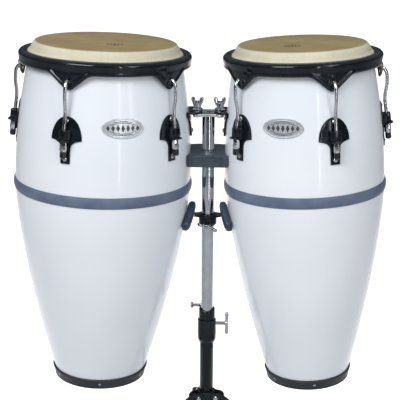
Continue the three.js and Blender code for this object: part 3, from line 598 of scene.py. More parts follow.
def drum_place(label):
    """A drum's own frame: Z up its axis, X towards the tube, the origin in the middle of its head."""
    up = Vector(JOINTS[f"tension_{label}_slide"]["axis"]).normalized()
    towards = Vector((-DRUMS[label]["side"], 0, 0))
    x = (towards - up * towards.dot(up)).normalized()
    y = up.cross(x)
    corners = [v.co for v in frame["nodes"][f"head_{label}"].data.vertices]
    highest = max(corner.dot(up) for corner in corners)
    face = [corner for corner in corners if corner.dot(up) > highest - 0.05 * MM]
    return Matrix.Translation(sum(face, Vector()) / len(face)) @ Matrix((x, y, up)).transposed().to_4x4()


def corners_in(node, place):
    back = place.inverted()
    return [(back @ vertex.co) / MM for vertex in frame["nodes"][node].data.vertices]


def reach_of(node, place, pick=max):
    """How far from a place's Z axis a node's farthest, or nearest, corner is."""
    return pick(math.hypot(corner.x, corner.y) for corner in corners_in(node, place))


# ---- The drums -----------------------------------------------------------------------------------------

ROUND = 192
DRUM_HEIGHT = 711.0
BELLY_DEPTH = 285.0
SHELL_WALL = 6.0
BEARING_STEP = 5.3
GAP = 0.3
LUGS = 5
RIM_BOTTOM = 43.0
RIM_TOP = 18.0
HOOP_TOP = 25.4
EAR_REACH = 30.0
EAR_TIP = 16.0
EAR_WIDTH = 87.0
EAR_FLARE = 9.0
HOLE_DEPTH = 54.3
HOLE = 5.6
ROD = 3.5
BLOCK = 157.0
FLANGE_DEPTH = 132.0
HOOP_BOTTOM = 35.0
CREST = 17.0
FOOT = DRUM_HEIGHT - 5
BAND_WIDTH = 22.0
LUG_PLATE = 2.5
NUT_BORE = 4.4
BRACKET = 4.0
WING_BOLT = 22.5


def shell_radius(drum, z):
    depth = -z
    if depth < BELLY_DEPTH:
        above = (BELLY_DEPTH - depth) / BELLY_DEPTH
        return drum["belly"] - (drum["belly"] - drum["head"] - BEARING_STEP) * above**2
    below = (depth - BELLY_DEPTH) / (DRUM_HEIGHT - BELLY_DEPTH)
    return drum["belly"] - (drum["belly"] - drum["foot"]) * below**1.45


def shell_line(drum, offset, low, high, count):
    heights = [low + (high - low) * k / count for k in range(count + 1)]
    return [(shell_radius(drum, z) + offset, z) for z in heights]


def on_shell(drum, angle, lift=GAP):
    """Bends a flat form round the shell: X goes round it, Y up it and Z out from it."""

    def rule(point):
        radius = shell_radius(drum, point.y) + lift
        turn = math.radians(angle) + point.x / radius
        out = radius + point.z
        return Vector((out * math.cos(turn), out * math.sin(turn), point.y))

    return rule


def lug_angles():
    return [(k + 0.5) * 360 / LUGS for k in range(LUGS)]


def bolt_head(radius, height, slot=True):
    """A domed screw head standing on Z = 0, with a cross recess."""
    dome = [(radius * math.sin(a), height * math.cos(a)) for a in np.linspace(0, math.pi / 2, 9)]
    line = [(r, max(z, 0.25 * height)) for r, z in dome[:-1]]
    outline = line + [(radius, 0.25 * height), (radius, -0.4), (0, -0.4)]
    if not slot:
        return lathe(outline, 24)
    fine = [(0, height)] + [(radius * k / 14, height * math.cos(math.pi / 2 * k / 14)) for k in range(1, 14)]
    fine = [(r, max(z, 0.25 * height)) for r, z in fine] + outline[-3:]

    def recess(angle, r, z):
        x, y = abs(r * math.cos(angle)), abs(r * math.sin(angle))
        near = min(x, y) < 0.16 * radius and max(x, y) < 0.62 * radius
        return z - 0.45 * height if near and z > 0 else z

    return lathe(fine, 40, recess)


def against(form, x, y, z, direction):
    """A form drawn on Z = 0 moved to a point, with its Z axis along a direction."""
    turn = Vector(direction).to_track_quat("Z", "Y").to_matrix().to_4x4()
    return form.moved(Matrix.Translation((x, y, z)) @ turn)


def shell_normal(drum, angle, z):
    slope = (shell_radius(drum, z + 1) - shell_radius(drum, z - 1)) / 2
    turn = math.radians(angle)
    return Vector((math.cos(turn), math.sin(turn), -slope)).normalized()


def screw_on_shell(drum, head, angle, across, z, lift):
    """A screw head lying on a plate on the shell, some way across from an angle."""
    radius = shell_radius(drum, z) + GAP + lift
    degrees = angle + math.degrees(across / radius)
    turn = math.radians(degrees)
    return against(head, radius * math.cos(turn), radius * math.sin(turn), z, shell_normal(drum, degrees, z))


def build_shell(label, drum, place):
    crest = drum["head"] - 3
    outside = shell_line(drum, 0, -FOOT, -CREST, 72)
    outside[-1] = (outside[-1][0] - GAP, -CREST)
    within = shell_line(drum, -SHELL_WALL, -FOOT, -CREST, 40)[::-1]
    nose = rounded([outside[-1], (crest, -2.3, 3), (crest - SHELL_WALL, -4, 3), within[0]], steps=5)
    form = lathe(outside[:-1] + nose + within[1:], ROUND)
    piece(f"fine_shell_{label}", form, "lacquer", f"drum_{label}", place, [f"shell_{label}"])
    band = shell_line(drum, 0, -BELLY_DEPTH - BAND_WIDTH / 2, -BELLY_DEPTH + BAND_WIDTH / 2, 8)
    swell = [0, 0.9, 1.5, 1.8, 1.9, 1.8, 1.5, 0.9, 0]
    face = [(r + 1.2 + more, z) for (r, z), more in zip(band, swell)]
    low, high = ((r + 0.05, z) for r, z in (band[0], band[-1]))
    form = lathe([low] + face + [high] + band[::-4], ROUND)
    piece(f"belly_band_{label}", form, "grey_rubber", f"drum_{label}", place)


def build_head(label, drum, place):
    radius = drum["head"]
    collar = reach_of(f"rim_{label}", place, min) - 1.4
    hoop_out = reach_of(f"rim_{label}", place) - 8
    hoop_in = shell_radius(drum, -HOOP_BOTTOM) + 1
    outline = rounded([
        (0, 0), (radius - 11, 0), (radius + 0.4, -0.6, 9), (radius + 5.4, -8, 10), (collar - 4, -16.4, 14),
        (collar, -19.6, 6), (collar + GAP, -HOOP_TOP, 1), (hoop_out, -HOOP_TOP, 3),
        (hoop_out, -HOOP_BOTTOM, 3), (hoop_in, -HOOP_BOTTOM, 2), (collar - 2.6, -19.4, 3),
        (radius - 1.6, -2.4, 1), (0, -2),
    ], steps=7)
    form = lathe(outline, ROUND)
    piece(f"fine_head_{label}", form, f"hide_{label}", f"drum_{label}", place, [f"head_{label}"])
    low, high, edge, spacing = 0.01, 0.12, 0.03, 2
    ring = plate(circle(16, 48), low, high, edge, spacing, [circle(13.4, 48)], both=False)
    bars = [plate(slab(length, 3.2, 1.2), low, high, edge, spacing, both=False).at(0, y, 0)
            for length, y in ((15, -6), (22, 0), (15, 6))]
    ink = (ring + together(bars)).turned(90 * drum["side"], "Z").at(22, drum["side"] * 44, 0)
    piece(f"head_mark_{label}", ink, "ink", f"drum_{label}", place)


def ear_edge():
    """The ear's straight sides: the tip circle's centre height, and the sides' slope in radians."""
    centre_z = -RIM_BOTTOM - EAR_REACH + EAR_TIP
    run, drop = EAR_WIDTH / 2, -RIM_BOTTOM - centre_z
    slope = math.atan2(drop, run) + math.asin(EAR_TIP / math.hypot(run, drop))
    return centre_z, slope


def ear_inside(u, z):
    """How far inside an ear's outline, carried up past the rim's bottom, a point lies."""
    centre_z, slope = ear_edge()
    u = abs(u)
    if z < centre_z and math.atan2(centre_z - z, u) > math.pi / 2 - slope:
        return EAR_TIP - math.hypot(u, z - centre_z)
    return (EAR_WIDTH / 2 - u) * math.sin(slope) + (z + RIM_BOTTOM) * math.cos(slope)


def ear_low(u):
    """The height of the rim's lower edge, some way round from an ear's middle."""
    centre_z, slope = ear_edge()
    u = abs(u)
    if u < EAR_TIP * math.sin(slope):
        return centre_z - math.sqrt(EAR_TIP**2 - u**2)
    short = EAR_WIDTH / 2 - u
    if abs(short) < EAR_FLARE:
        return -RIM_BOTTOM - (short + EAR_FLARE) ** 2 / (4 * EAR_FLARE) * math.tan(slope)
    return -RIM_BOTTOM - max(0, short) * math.tan(slope)


def smooth(value, low, high):
    t = min(1, max(0, (value - low) / (high - low)))
    return t * t * (3 - 2 * t)


def build_rim(label, place):
    out = reach_of(f"rim_{label}", place)
    lip = reach_of(f"rim_{label}", place, min)
    sheet, inner = 3.0, out - 4.2
    cap = rounded([
        (lip, -HOOP_TOP + GAP), (lip, -RIM_TOP - 2, 1.6), (lip + 5, -RIM_TOP + 0.3, 3),
        (out - 4.6, -RIM_TOP - 0.6, 5), (out, -RIM_TOP - 5.6, 7), (out - 0.9, -RIM_TOP - 12),
    ], steps=6)
    columns = []
    for middle in lug_angles():
        half = math.degrees((EAR_WIDTH / 2 + EAR_FLARE) / out) + 1
        columns += list(np.linspace(middle - half, middle + half, 64))
        columns += list(np.linspace(middle + half, middle + 360 / LUGS - half, 26)[1:-1])
    top = cap[-1][1]
    near = [0.0, 0.4, 1.0, 1.9, 3.0, 4.2, 5.6, 7.2, 9.0, 11.0, 13.2]
    vertices, faces = [], []
    for degrees in columns:
        middle = min(lug_angles(), key=lambda a: abs((degrees - a + 180) % 360 - 180))
        u = math.radians((degrees - middle + 180) % 360 - 180) * out
        low = ear_low(u)
        heights = [low + d for d in near]
        heights += [heights[-1] + (top - heights[-1]) * k / 10 for k in range(1, 10)]

        def face_radius(z):
            depth = ear_inside(u, z)
            hollow = 0.7 * math.sin(math.pi * smooth(z, -RIM_BOTTOM, top))
            ear = smooth(-z, 27, 42) * smooth(44 - abs(u), -4, 10)
            sunk = 1.9 * smooth(depth, 5.5, 10) * ear
            bead = 0.7 * math.exp(-(((depth - 5.2) / 1.3) ** 2)) * ear
            lean = 0.09 * max(0, -RIM_BOTTOM - z)
            turned_in = 2.6 * (1 - smooth(z - low, -1.5, 4.2))
            ring = 0.9 * math.exp(-(((math.hypot(u, z + HOLE_DEPTH) - HOLE - 1.4) / 1.5) ** 2))
            return out - 0.9 - hollow - sunk - lean - turned_in + ring + bead

        wall = [(face_radius(z), z) for z in reversed(heights)]
        back = [(r - sheet, z + (0.9 if k == 0 else 0)) for k, (r, z) in enumerate(reversed(wall))]
        back = [(min(r, inner), z) for r, z in back]
        edge = (wall[-1][0] - 0.4 * sheet, wall[-1][1] - 0.6)
        line = cap + wall + [edge] + back + [(inner, -HOOP_TOP + GAP)]
        turn = math.radians(degrees)
        vertices += [(r * math.cos(turn), r * math.sin(turn), z) for r, z in line]
    rows = len(vertices) // len(columns)
    for k in range(len(columns)):
        n = (k + 1) % len(columns)
        for row in range(rows):
            up = (row + 1) % rows
            faces.append((k * rows + row, n * rows + row, n * rows + up, k * rows + up))
    drill = lathe([(0, -20), (HOLE, -20), (HOLE, 20), (0, 20)], 40).turned(90, "Y").at(out, 0, -HOLE_DEPTH)
    holes = together(drill.turned(degrees, "Z") for degrees in lug_angles())
    form = cut_out(f"rim_{label}", Form(vertices, faces), holes)
    piece(f"fine_rim_{label}", form, "enamel", f"tension_{label}", place, [f"rim_{label}"], sharp=50)


def rod_line(label):
    """How far out the straight end of a drum's hooks is, level with the block, and how it leans."""
    drum = DRUMS[label]
    slope = (shell_radius(drum, 1 - BLOCK) - shell_radius(drum, -1 - BLOCK)) / 2
    place = drum_place(label)
    pivot = (place.inverted() @ joint_spot(f"nut_{label}_1_turn")) / MM
    lean = math.atan(slope)
    return math.hypot(pivot.x, pivot.y) - (pivot.z + BLOCK) * slope, lean


def build_hooks(label, drum, place):
    out = reach_of(f"rim_{label}", place)
    radius, lean = rod_line(label)

    def on_line(z):
        return (radius + (z + BLOCK) * math.tan(lean), 0, z)

    tip = shell_radius(drum, -HOLE_DEPTH) + 4
    form = rod([
        (tip, 0, -HOLE_DEPTH), (out - 3, 0, -HOLE_DEPTH), (out + 4.2, 0, -HOLE_DEPTH - 5.5),
        (out + 8, 0, -HOLE_DEPTH - 28), on_line(-114), on_line(-143), on_line(-195),
    ], ROD, 16, 6)
    for k, degrees in enumerate(lug_angles(), 1):
        name = f"hook_{label}_{k}"
        piece(f"fine_{name}", form.turned(degrees, "Z"), "chrome", f"tension_{label}", place, [name])


def lug_plate():
    outline = [(-9.5, -212), (9.5, -212), (9.5, -183)]
    outline += curved((9.5, -183), (10.5, -169), (31, -167))[1:]
    outline += [(31 * math.cos(a), -167 + 45 * math.sin(a)) for a in np.linspace(0, math.pi, 30)[1:]]
    outline += curved((-31, -167), (-10.5, -169), (-9.5, -183))[1:]
    return plate(outline, 0, LUG_PLATE, 1.0, 4, both=False)


def lug_block():
    """The bored block in the frame of its hook: Z along the hook, X out from the drum."""
    half, height = 11.5, 22.0
    body = rounded([(-14, -half), (-1.5, -half, 3), (1.0, -8.2, 1.5), (8.1, -7, 5.5), (8.1, 7, 5.5),
                    (1.0, 8.2, 1.5), (-1.5, half, 3), (-14, half)], closed=True, steps=6)
    lip = rounded([(-14, -half), (7, -half, 3), (12, -6.5, 4), (12, 6.5, 4), (7, half, 3), (-14, half)],
                  closed=True, steps=5)
    hole = circle(4.7, 28)
    upper = plate(body, -height / 2 + 2.8, height / 2, 1.1, 5, [hole])
    lower = plate(lip, -height / 2, -height / 2 + 3.4, 1.2, 5, [hole])
    return upper + lower


def build_lugs(label, drum, place):
    radius, lean = rod_line(label)

    def clear(p):
        least = shell_radius(drum, p.z) + 1
        return p if math.hypot(p.x, p.y) > least else Vector((least, p.y, p.z))

    block = lug_block().turned(math.degrees(lean), "Y").at(radius, 0, -BLOCK).bent(clear)
    screw = bolt_head(4.6, 2.6)
    for k, degrees in enumerate(lug_angles(), 1):
        name = f"lug_{label}_{k}"
        form = lug_plate().bent(on_shell(drum, degrees)) + block.turned(degrees, "Z")
        piece(f"fine_{name}", form, "enamel", f"drum_{label}", place, [name])
        screws = [screw_on_shell(drum, screw, degrees, 0, z, LUG_PLATE) for z in (-202.5, -130)]
        piece(f"{name}_screws", together(screws), "chrome", f"drum_{label}", place)


def build_nuts(label, place):
    """Tuning nuts: a hexagon under a collar, with a soft cap pressed over the end of the hook."""
    corner = (4.7 + 1.6) / math.cos(math.pi / 6)
    hexagon = [(corner * math.cos(a), corner * math.sin(a)) for a in np.radians(range(0, 360, 60))]
    bore = circle(NUT_BORE, 24)
    body = plate(rounded([(*p, 1.2) for p in hexagon], closed=True), -17.5, 0, 0.9, 6, [bore])
    collar = spun([(NUT_BORE, -19), (6.0, -19, 0.5), (6.0, -17, 0.5), (NUT_BORE, -17)], 32, 3)
    cap = spun([(0, -32), (3.4, -32, 3), (6, -30, 4), (6, -24), (6, -19.2, 0.8), (3, -19), (0, -19)], 32, 5)
    for k, degrees in enumerate(lug_angles(), 1):
        name = f"nut_{label}_{k}"
        joint = JOINTS[f"{name}_turn"]
        up = Vector(joint["axis"]).normalized()
        angle = math.radians(degrees)
        outwards = place.to_3x3() @ Vector((math.cos(angle), math.sin(angle), 0))
        x = (outwards - up * outwards.dot(up)).normalized()
        turn = Matrix((x, up.cross(x), up)).transposed().to_4x4()
        spot = Matrix.Translation(Vector(joint["pos_m"])) @ turn
        piece(f"fine_{name}", body + collar, "chrome", name, spot, [name])
        piece(f"{name}_cap", cap, "cap", name, spot)


def build_base_ring(label, drum, place):
    foot = shell_radius(drum, -FOOT) + GAP
    top = shell_radius(drum, -DRUM_HEIGHT + 22) + GAP
    form = spun([
        (foot - 6, -DRUM_HEIGHT), (foot + 3, -DRUM_HEIGHT, 1.5), (foot + 3.1, -FOOT, 1), (top + 3, -691, 1.4),
        (top + 0.2, -689), (foot, -FOOT - GAP), (foot - 6, -FOOT - GAP),
    ], 160)
    piece(f"fine_base_ring_{label}", form, "black_rubber", f"drum_{label}", place, [f"base_ring_{label}"])
    screw = bolt_head(2.6, 1.4)
    heads = [screw_on_shell(drum, screw, 36 + 60 * k, 0, -700, 3.0) for k in range(6)]
    piece(f"base_screws_{label}", together(heads), "chrome", f"drum_{label}", place)


def build_badge(label, drum, place):
    """An oval plate with a raised border and a generic pattern of bars and lozenges."""
    angle = 72 * drum["side"]
    centre_z = -140

    def oval(x, y, n=64):
        return [(x * math.cos(FULL * k / n), centre_z + y * math.sin(FULL * k / n)) for k in range(n)]

    base = plate(oval(40, 19), 0, 0.9, 0.5, 4, both=False)
    border = plate(oval(40, 19), 0.5, 1.7, 0.4, 3, [oval(37.4, 16.6)], both=False)
    ground = plate(oval(36.6, 15.8), 0.7, 1.1, 0.2, 4, both=False)
    marks = []
    for k in range(-3, 4):
        x, half = 9.4 * k, 7.2 * math.sqrt(1 - (k / 4.6) ** 2)
        lozenge = [(x, centre_z - half), (x + 3.6, centre_z), (x, centre_z + half), (x - 3.6, centre_z)]
        marks.append(plate(rounded([(*p, 0.6) for p in lozenge], closed=True), 0.9, 1.6, 0.3, 3, both=False))
    for side in (-1, 1):
        for k in range(2):
            y, half = 10.3 + 2.6 * k, (25.5, 17.5)[k]
            bar = [(-half, y - 0.55), (half, y - 0.55), (half, y + 0.55), (-half, y + 0.55)]
            bar = [(x, centre_z + side * (b - 1.8 * (x / 30) ** 2 * 4)) for x, b in split(bar, 4)]
            marks.append(plate(bar, 0.9, 1.5, 0.2, 3, both=False))
    bend = on_shell(drum, angle, 0.1)
    silver = (base + border + ground).bent(bend)
    piece(f"badge_{label}", silver, "badge", f"drum_{label}", place)
    piece(f"badge_marks_{label}", together(marks).bent(bend), "badge_dark", f"drum_{label}", place)


def build_bracket(label, drum, place):
    """The mounting bracket: a leg on the shell and a slotted flange that lies on the top plate."""
    side = drum["side"]
    bottom, end = -FLANGE_DEPTH - 52, 13.0
    outline = [(35, -FLANGE_DEPTH + 1), (-35, -FLANGE_DEPTH + 1), (-35, -FLANGE_DEPTH - 8)]
    outline += curved((-35, -FLANGE_DEPTH - 8), (-15, -FLANGE_DEPTH - 16), (-end, bottom + end))[1:]
    outline += arc(0, bottom + end, end, 180, 360)[1:]
    outline += curved((end, bottom + end), (15, -FLANGE_DEPTH - 16), (35, -FLANGE_DEPTH - 8))[1:]
    leg = plate(outline, 0, BRACKET, 1.0, 5, both=False).bent(on_shell(drum, 0))
    piece(f"fine_bracket_leg_{label}", leg, "enamel", f"drum_{label}", place, [f"mount_bracket_{label}"])
    shell_x = abs(shell_x_by_stand(label)) + 0.6
    tip, slot, half = 12.0, 4.4, 35.0
    line = [(shell_x, half), (shell_x - 3, half)]
    line += curved((shell_x - 3, half), (tip + 4, half - 2), (tip, half / 2))[1:]
    line += [(tip, slot)] + arc(WING_BOLT, 0, slot, 90, -90, 12)[1:-1]
    line += [(WING_BOLT, -slot), (tip, -slot), (tip, -half / 2)]
    line += curved((tip, -half / 2), (tip + 4, -half + 2), (shell_x - 3, -half))[1:]
    line += [(shell_x, -half)]
    windows = [[(x + shell_x - 8.2, y + shift) for x, y in slab(6.5, 17, 2.4)] for shift in (-19, 19)]
    low = PLATE_HEIGHT + GAP
    flange = plate(line, low, low + BRACKET, 1.0, 4, windows)
    flange = flange.bent(lambda p: Vector((side * p.x, side * p.y, p.z)))
    piece(f"bracket_flange_{label}", flange, "enamel", f"drum_{label}", TUBE)
    screw, spots = bolt_head(5.0, 3.4), ((0, -172), (-23, -143), (23, -143))
    heads = [screw_on_shell(drum, screw, 0, across, z, BRACKET) for across, z in spots]
    piece(f"bracket_screws_{label}", together(heads), "chrome", f"drum_{label}", place)


def shell_x_by_stand(label):
    """Where the shell's surface is in the stand's frame, level with the bracket's flange."""
    drum, place = DRUMS[label], drum_place(label)
    spot = place @ (Vector((shell_radius(drum, -FLANGE_DEPTH), 0, -FLANGE_DEPTH)) * MM)
    return (spot.x - TUBE.translation.x) / MM


def build_drum(label):
    drum, place = DRUMS[label], drum_place(label)
    build_shell(label, drum, place)
    build_head(label, drum, place)
    build_rim(label, place)
    build_hooks(label, drum, place)
    build_lugs(label, drum, place)
    build_nuts(label, place)
    build_base_ring(label, drum, place)
    build_badge(label, drum, place)
    build_bracket(label, drum, place)


# ---- The stand -----------------------------------------------------------------------------------------

TUBE_RADIUS = (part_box("upper_tube")[1].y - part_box("upper_tube")[0].y) / 2 / MM
BORE = TUBE_RADIUS + 0.4
LOWER_RADIUS = BORE + 1.4
THREAD = 3.9
COLLAR_STEP = 361
LEG_LENGTH = 376
LEG_SLOPE = 28.0
BRACE_LENGTH = 100


def wing(hub, height, span, rise, sheet, lobe):
    """Two blades that rise from a hub, with round lobes for the fingers."""
    reach = span / 2 - lobe
    blade = [(0, 2), (hub, 2)]
    blade += curved((hub, 2), (reach + 0.5, rise * 0.35), (reach + lobe, rise - lobe))[1:]
    blade += arc(reach, rise - lobe, lobe, 0, 180, 14)[1:]
    bend = (reach - 1.4 * lobe, rise * 0.5)
    blade += curved((reach - lobe, rise - lobe), bend, (hub * 0.55, height - 1))[1:]
    blade += [(0, height - 1)]
    form = alongy(plate(blade, -sheet / 2, sheet / 2, 0.3 * sheet, 3))
    return form + form.turned(180, "Z")


def threads(radius, low, high, pitch=1.4):
    """A screw's threaded length, as close rings."""
    count = max(2, int((high - low) / pitch))
    outline = [(0, low)]
    for k in range(count):
        z = low + (high - low) * k / count
        step = (high - low) / count
        outline += [(radius - 0.55, z), (radius, z + 0.5 * step)]
    return lathe(outline + [(radius - 0.7, high), (0, high)], 28)


def build_plate():
    low, high = PLATE_HEIGHT - 5, PLATE_HEIGHT
    length = (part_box("top_plate")[1].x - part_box("top_plate")[0].x) / MM
    bores = [circle(4.4, 24, side * WING_BOLT) for side in (-1, 1)]
    deck = plate(slab(length, 56, 12), low, high, 1.2, 5, bores)
    lobe = spun([(4.4, low - 6), (8.6, low - 6, 2.5), (9.2, low + 0.3), (4.4, low + 0.3)], 48, 5)
    lobes = lobe.at(-WING_BOLT, 0, 0) + lobe.at(WING_BOLT, 0, 0)
    tight = TUBE_RADIUS - 2.6
    plug = lathe([(0, low - 30), (tight, low - 30), (tight, low + 0.3), (0, low + 0.3)], 64)
    piece("fine_top_plate", deck + lobes + plug, "bright", "top", TUBE, ["top_plate"])
    piece("top_plate_screw", bolt_head(4.2, 1.6).at(0, 0, high), "cap", "top", TUBE)


def build_plate_wings():
    washer = spun([(4.6, 0), (10.4, 0, 0.4), (10.4, 0.8, 0.4), (7.6, 3.8, 2), (4.6, 4.4)], 48)
    hub = spun([(0, 3.2), (6.6, 3.2, 0.6), (5.4, 8, 2), (4.9, 14, 1.5), (0, 14)], 40)
    blades = wing(6.0, 13, 26, 25, 5.2, 4.3).at(0, 0, 0.6)
    for label, drum in DRUMS.items():
        joint = JOINTS[f"plate_wing_{label}_turn"]
        x, y, _ = joint["pos_m"]
        spot = Matrix.Translation((x, y, PLATE_HEIGHT * MM + (BRACKET + 2 * GAP) * MM))
        turn = turned_about(8 * drum["side"], "Z")
        name = f"plate_wing_{label}"
        form = washer + hub + blades + threads(THREAD, -15, 17.5)
        piece(f"fine_{name}", form, "nickel", name, spot @ turn, [name])


def shell_room(label, y, z):
    """How far from the tube's axis a drum's shell is, at a place beside the tube."""
    drum, back = DRUMS[label], drum_place(label).inverted()
    reach = 0.0
    for _ in range(12):
        point = (back @ (TUBE.translation + Vector((drum["side"] * reach, y, z)) * MM)) / MM
        reach += math.hypot(point.x, point.y) - shell_radius(drum, point.z)
    return reach


def build_cushion():
    """The rubber block between the shells: crowned sides, soft edges, ends hollowed to the drums."""
    low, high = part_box("cushion_block")
    bottom, top = low.z / MM, high.z / MM
    length, breadth = (high.x - low.x) / MM, (high.y - low.y) / MM
    block = plate(slab(length, breadth, 8), bottom, top, 2.2, 4, [circle(BORE, 48)], belts=5)

    def fitted(point):
        label = "10" if point.x > 0 else "11"
        room = shell_room(label, point.y, point.z) - 2 * GAP
        squeeze = min(room, length / 2) / (length / 2) - 1
        x = point.x * (1 + squeeze * smooth(abs(point.x), BORE, length / 2))
        crown = 1.2 * math.sin(math.pi * (point.z - bottom) / (top - bottom))
        outer = smooth(abs(point.y), BORE, breadth / 2)
        sag = 0.9 * smooth(abs(point.x), BORE, length / 2) * smooth(point.z, bottom, top)
        return Vector((x, point.y - math.copysign((1.2 - crown) * outer, point.y), point.z - sag))

    piece("fine_cushion_block", block.bent(fitted), "block_rubber", "top", TUBE, ["cushion_block"], sharp=50)


def build_yoke():
    """The clamp that steadies the bellies: a collar, a plate whose arms reach the pads, a wing screw."""
    low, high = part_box("bumper_yoke")
    joint = JOINTS["yoke_wing_turn"]
    screw_z = joint["pos_m"][2] / MM
    top = high.z / MM
    bottom = top - 26
    outer = TUBE_RADIUS + 6.6
    ring = spun([
        (BORE, top - 6.5), (outer - 0.3, top - 6.5), (outer, top - 5, 1), (outer - 0.2, top, 1.8),
        (BORE + 0.8, top, 0.8), (BORE, top - 1.5),
    ], 80)
    lower = spun([
        (BORE, bottom), (outer - 4, bottom, 1), (outer - 0.8, bottom + 5, 2), (outer - 0.8, top - 6.2),
        (BORE, top - 6.2),
    ], 80)
    boss = spun([(4.4, -2), (7.5, -2), (7.5, outer + 4.8, 1.2), (4.4, outer + 4.8)], 40)
    boss = boss.bent(lambda p: Vector((p.x, p.y, max(p.z, BORE + 1)))).turned(90, "X").at(0, 0, screw_z)
    piece("fine_yoke_collars", ring + lower + boss, "enamel", "yoke", TUBE, ["bumper_yoke"])
    arm_low, arm_high = top - 6, top - 2
    axis = TUBE.translation.x / MM
    outline = [(-(-low.x / MM + axis), -13), (-26, -11.5), (-19, -15), (0, -23.5), (19, -15), (26, -11.5),
               (high.x / MM - axis, -13)]
    outline += [(x, -y) for x, y in reversed(outline)]
    outline = rounded([(x, y, 9 if abs(x) < 30 else 2) for x, y in outline], closed=True, steps=5)
    bowed = plate(outline, arm_low + 0.3, arm_high - 0.3, 0.9, 3, [circle(BORE, 48)])

    def trimmed(p):
        label = "10" if p.x > 0 else "11"
        drum, place = DRUMS[label], drum_place(label)
        spot = (place.inverted() @ (TUBE.translation + p * MM)) / MM
        room = math.hypot(spot.x, spot.y) - shell_radius(drum, spot.z) - 12.6
        return p if room > 0 else Vector((p.x + drum["side"] * room, p.y, p.z))

    piece("yoke_plate", bowed.bent(trimmed), "satin", "yoke", TUBE)
    spot = Matrix.Translation(Vector(joint["pos_m"]))
    ahead = turned_about(90, "X")
    hub = spun([(0, 0.2), (7.2, 0.2, 0.8), (6, 3.5, 1), (5.6, 11, 2.5), (0, 11.6)], 40)
    blades = wing(5.8, 10.5, 43, 14, 6.4, 5.4)
    twist = turned_about(-20, "Z")
    stem = threads(THREAD, -(outer + 5 - TUBE_RADIUS) + 0.4, 0.6)
    piece("fine_yoke_wing", hub + blades + stem, "nickel", "yoke_wing", spot @ ahead @ twist, ["yoke_wing"])


def build_bumpers():
    """Thick pads shaped like beans, each lying on a shell with its lower end towards the players."""
    length, width, thickness, depth, turn, shift = 66, 26, 17, 346, 45, 26
    rows, steps = 32, 32
    for label, drum in DRUMS.items():
        vertices = []
        for row in range(rows + 1):
            along = -math.cos(math.pi * row / rows)
            end = max(0, abs(along) * length / 2 - (length - width) / 2) / (width / 2)
            broad = math.sqrt(max(0, 1 - end**2))
            for k in range(steps):
                angle = FULL * k / steps
                across = math.copysign(abs(math.cos(angle)) ** 0.85, math.cos(angle)) * broad * width / 2
                rise = math.copysign(abs(math.sin(angle)) ** 0.8, math.sin(angle)) * (0.25 + 0.75 * broad)
                vertices.append((across, along * length / 2, thickness * (0.5 + 0.5 * rise)))
        faces = skin([range(row * steps, (row + 1) * steps) for row in range(rows + 1)])
        side = drum["side"]
        pad = Form(vertices, faces).turned(turn * side, "Z").at(side * shift, -depth, 0)
        piece(f"fine_bumper_{label}", pad.bent(on_shell(drum, 0)), "pad_rubber", "yoke", drum_place(label),
              [f"bumper_{label}"])


def build_tubes():
    low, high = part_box("upper_tube")[0].z / MM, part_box("upper_tube")[1].z / MM
    inner = TUBE_RADIUS - 2
    form = spun([(inner, low), (TUBE_RADIUS, low, 0.5), (TUBE_RADIUS, high, 0.4), (inner, high)], 96, 3)
    piece("fine_upper_tube", form, "chrome", "post", TUBE, ["upper_tube"])
    radius, step = LOWER_RADIUS, COLLAR_STEP - GAP
    foot = JOINTS["brace_1_hinge"]["pos_m"][2] / MM
    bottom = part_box("lower_tube")[0].z / MM
    tube = spun([(radius - 1.4, bottom), (radius, bottom, 0.5), (radius, step), (radius - 1.4, step)], 96, 3)
    plug = spun([
        (radius - 3, bottom - 0.1), (radius + 0.6, bottom - 0.1, 1), (radius + 0.6, bottom + 8, 1),
        (radius, bottom + 8.6), (radius - 3, bottom + 8.6),
    ], 64, 3)
    ring = clevis_ring(3.5, 3.0, 10.35, radius - 0.3).at(0, 0, foot)
    piece("fine_lower_tube", tube + ring, "satin", "base", TUBE, ["lower_tube"])
    piece("lower_tube_end", plug, "black_rubber", "base", TUBE)


def leg_heading(k):
    """The direction of a leg round the tube, in degrees."""
    spot = joint_spot(f"leg_{k + 1}_hinge") - TUBE.translation
    return math.degrees(math.atan2(spot.y, spot.x))


def clevis_ring(breadth, pin, shift, bore):
    """A ring with three pairs of cheeks and their pins."""
    radius, pivot = HUB_RADIUS, PIVOT_RADIUS
    parts = [spun([(bore, -10), (radius, -10, 1.5), (radius, 10, 1.5), (bore, 10)], 72)]
    inner = breadth / 2 + GAP
    cheek = [(radius - pivot - 4, 10), (radius - pivot - 4, -10), (0, -10)] + arc(0, 0, 10, -90, 90, 14)[1:]
    for k in range(3):
        for sign in (-1, 1):
            low, high = sorted((sign * inner, sign * (inner + 4)))
            form = alongy(plate(cheek, -high - shift, -low - shift, 1.0, 4))
            parts.append(form.at(pivot, 0, 0).turned(leg_heading(k), "Z"))
        end = inner + 4.2
        bolt = spun([(0, -end), (pin, -end), (pin, end), (0, end)], 24)
        parts.append(bolt.turned(90, "X").at(pivot, shift, 0).turned(leg_heading(k), "Z"))
    return together(parts)


HUB_Z = JOINTS["leg_1_hinge"]["pos_m"][2] / MM
PIVOT_RADIUS = (joint_spot("leg_1_hinge") - TUBE.translation).xy.length / MM
HUB_RADIUS = PIVOT_RADIUS - 8


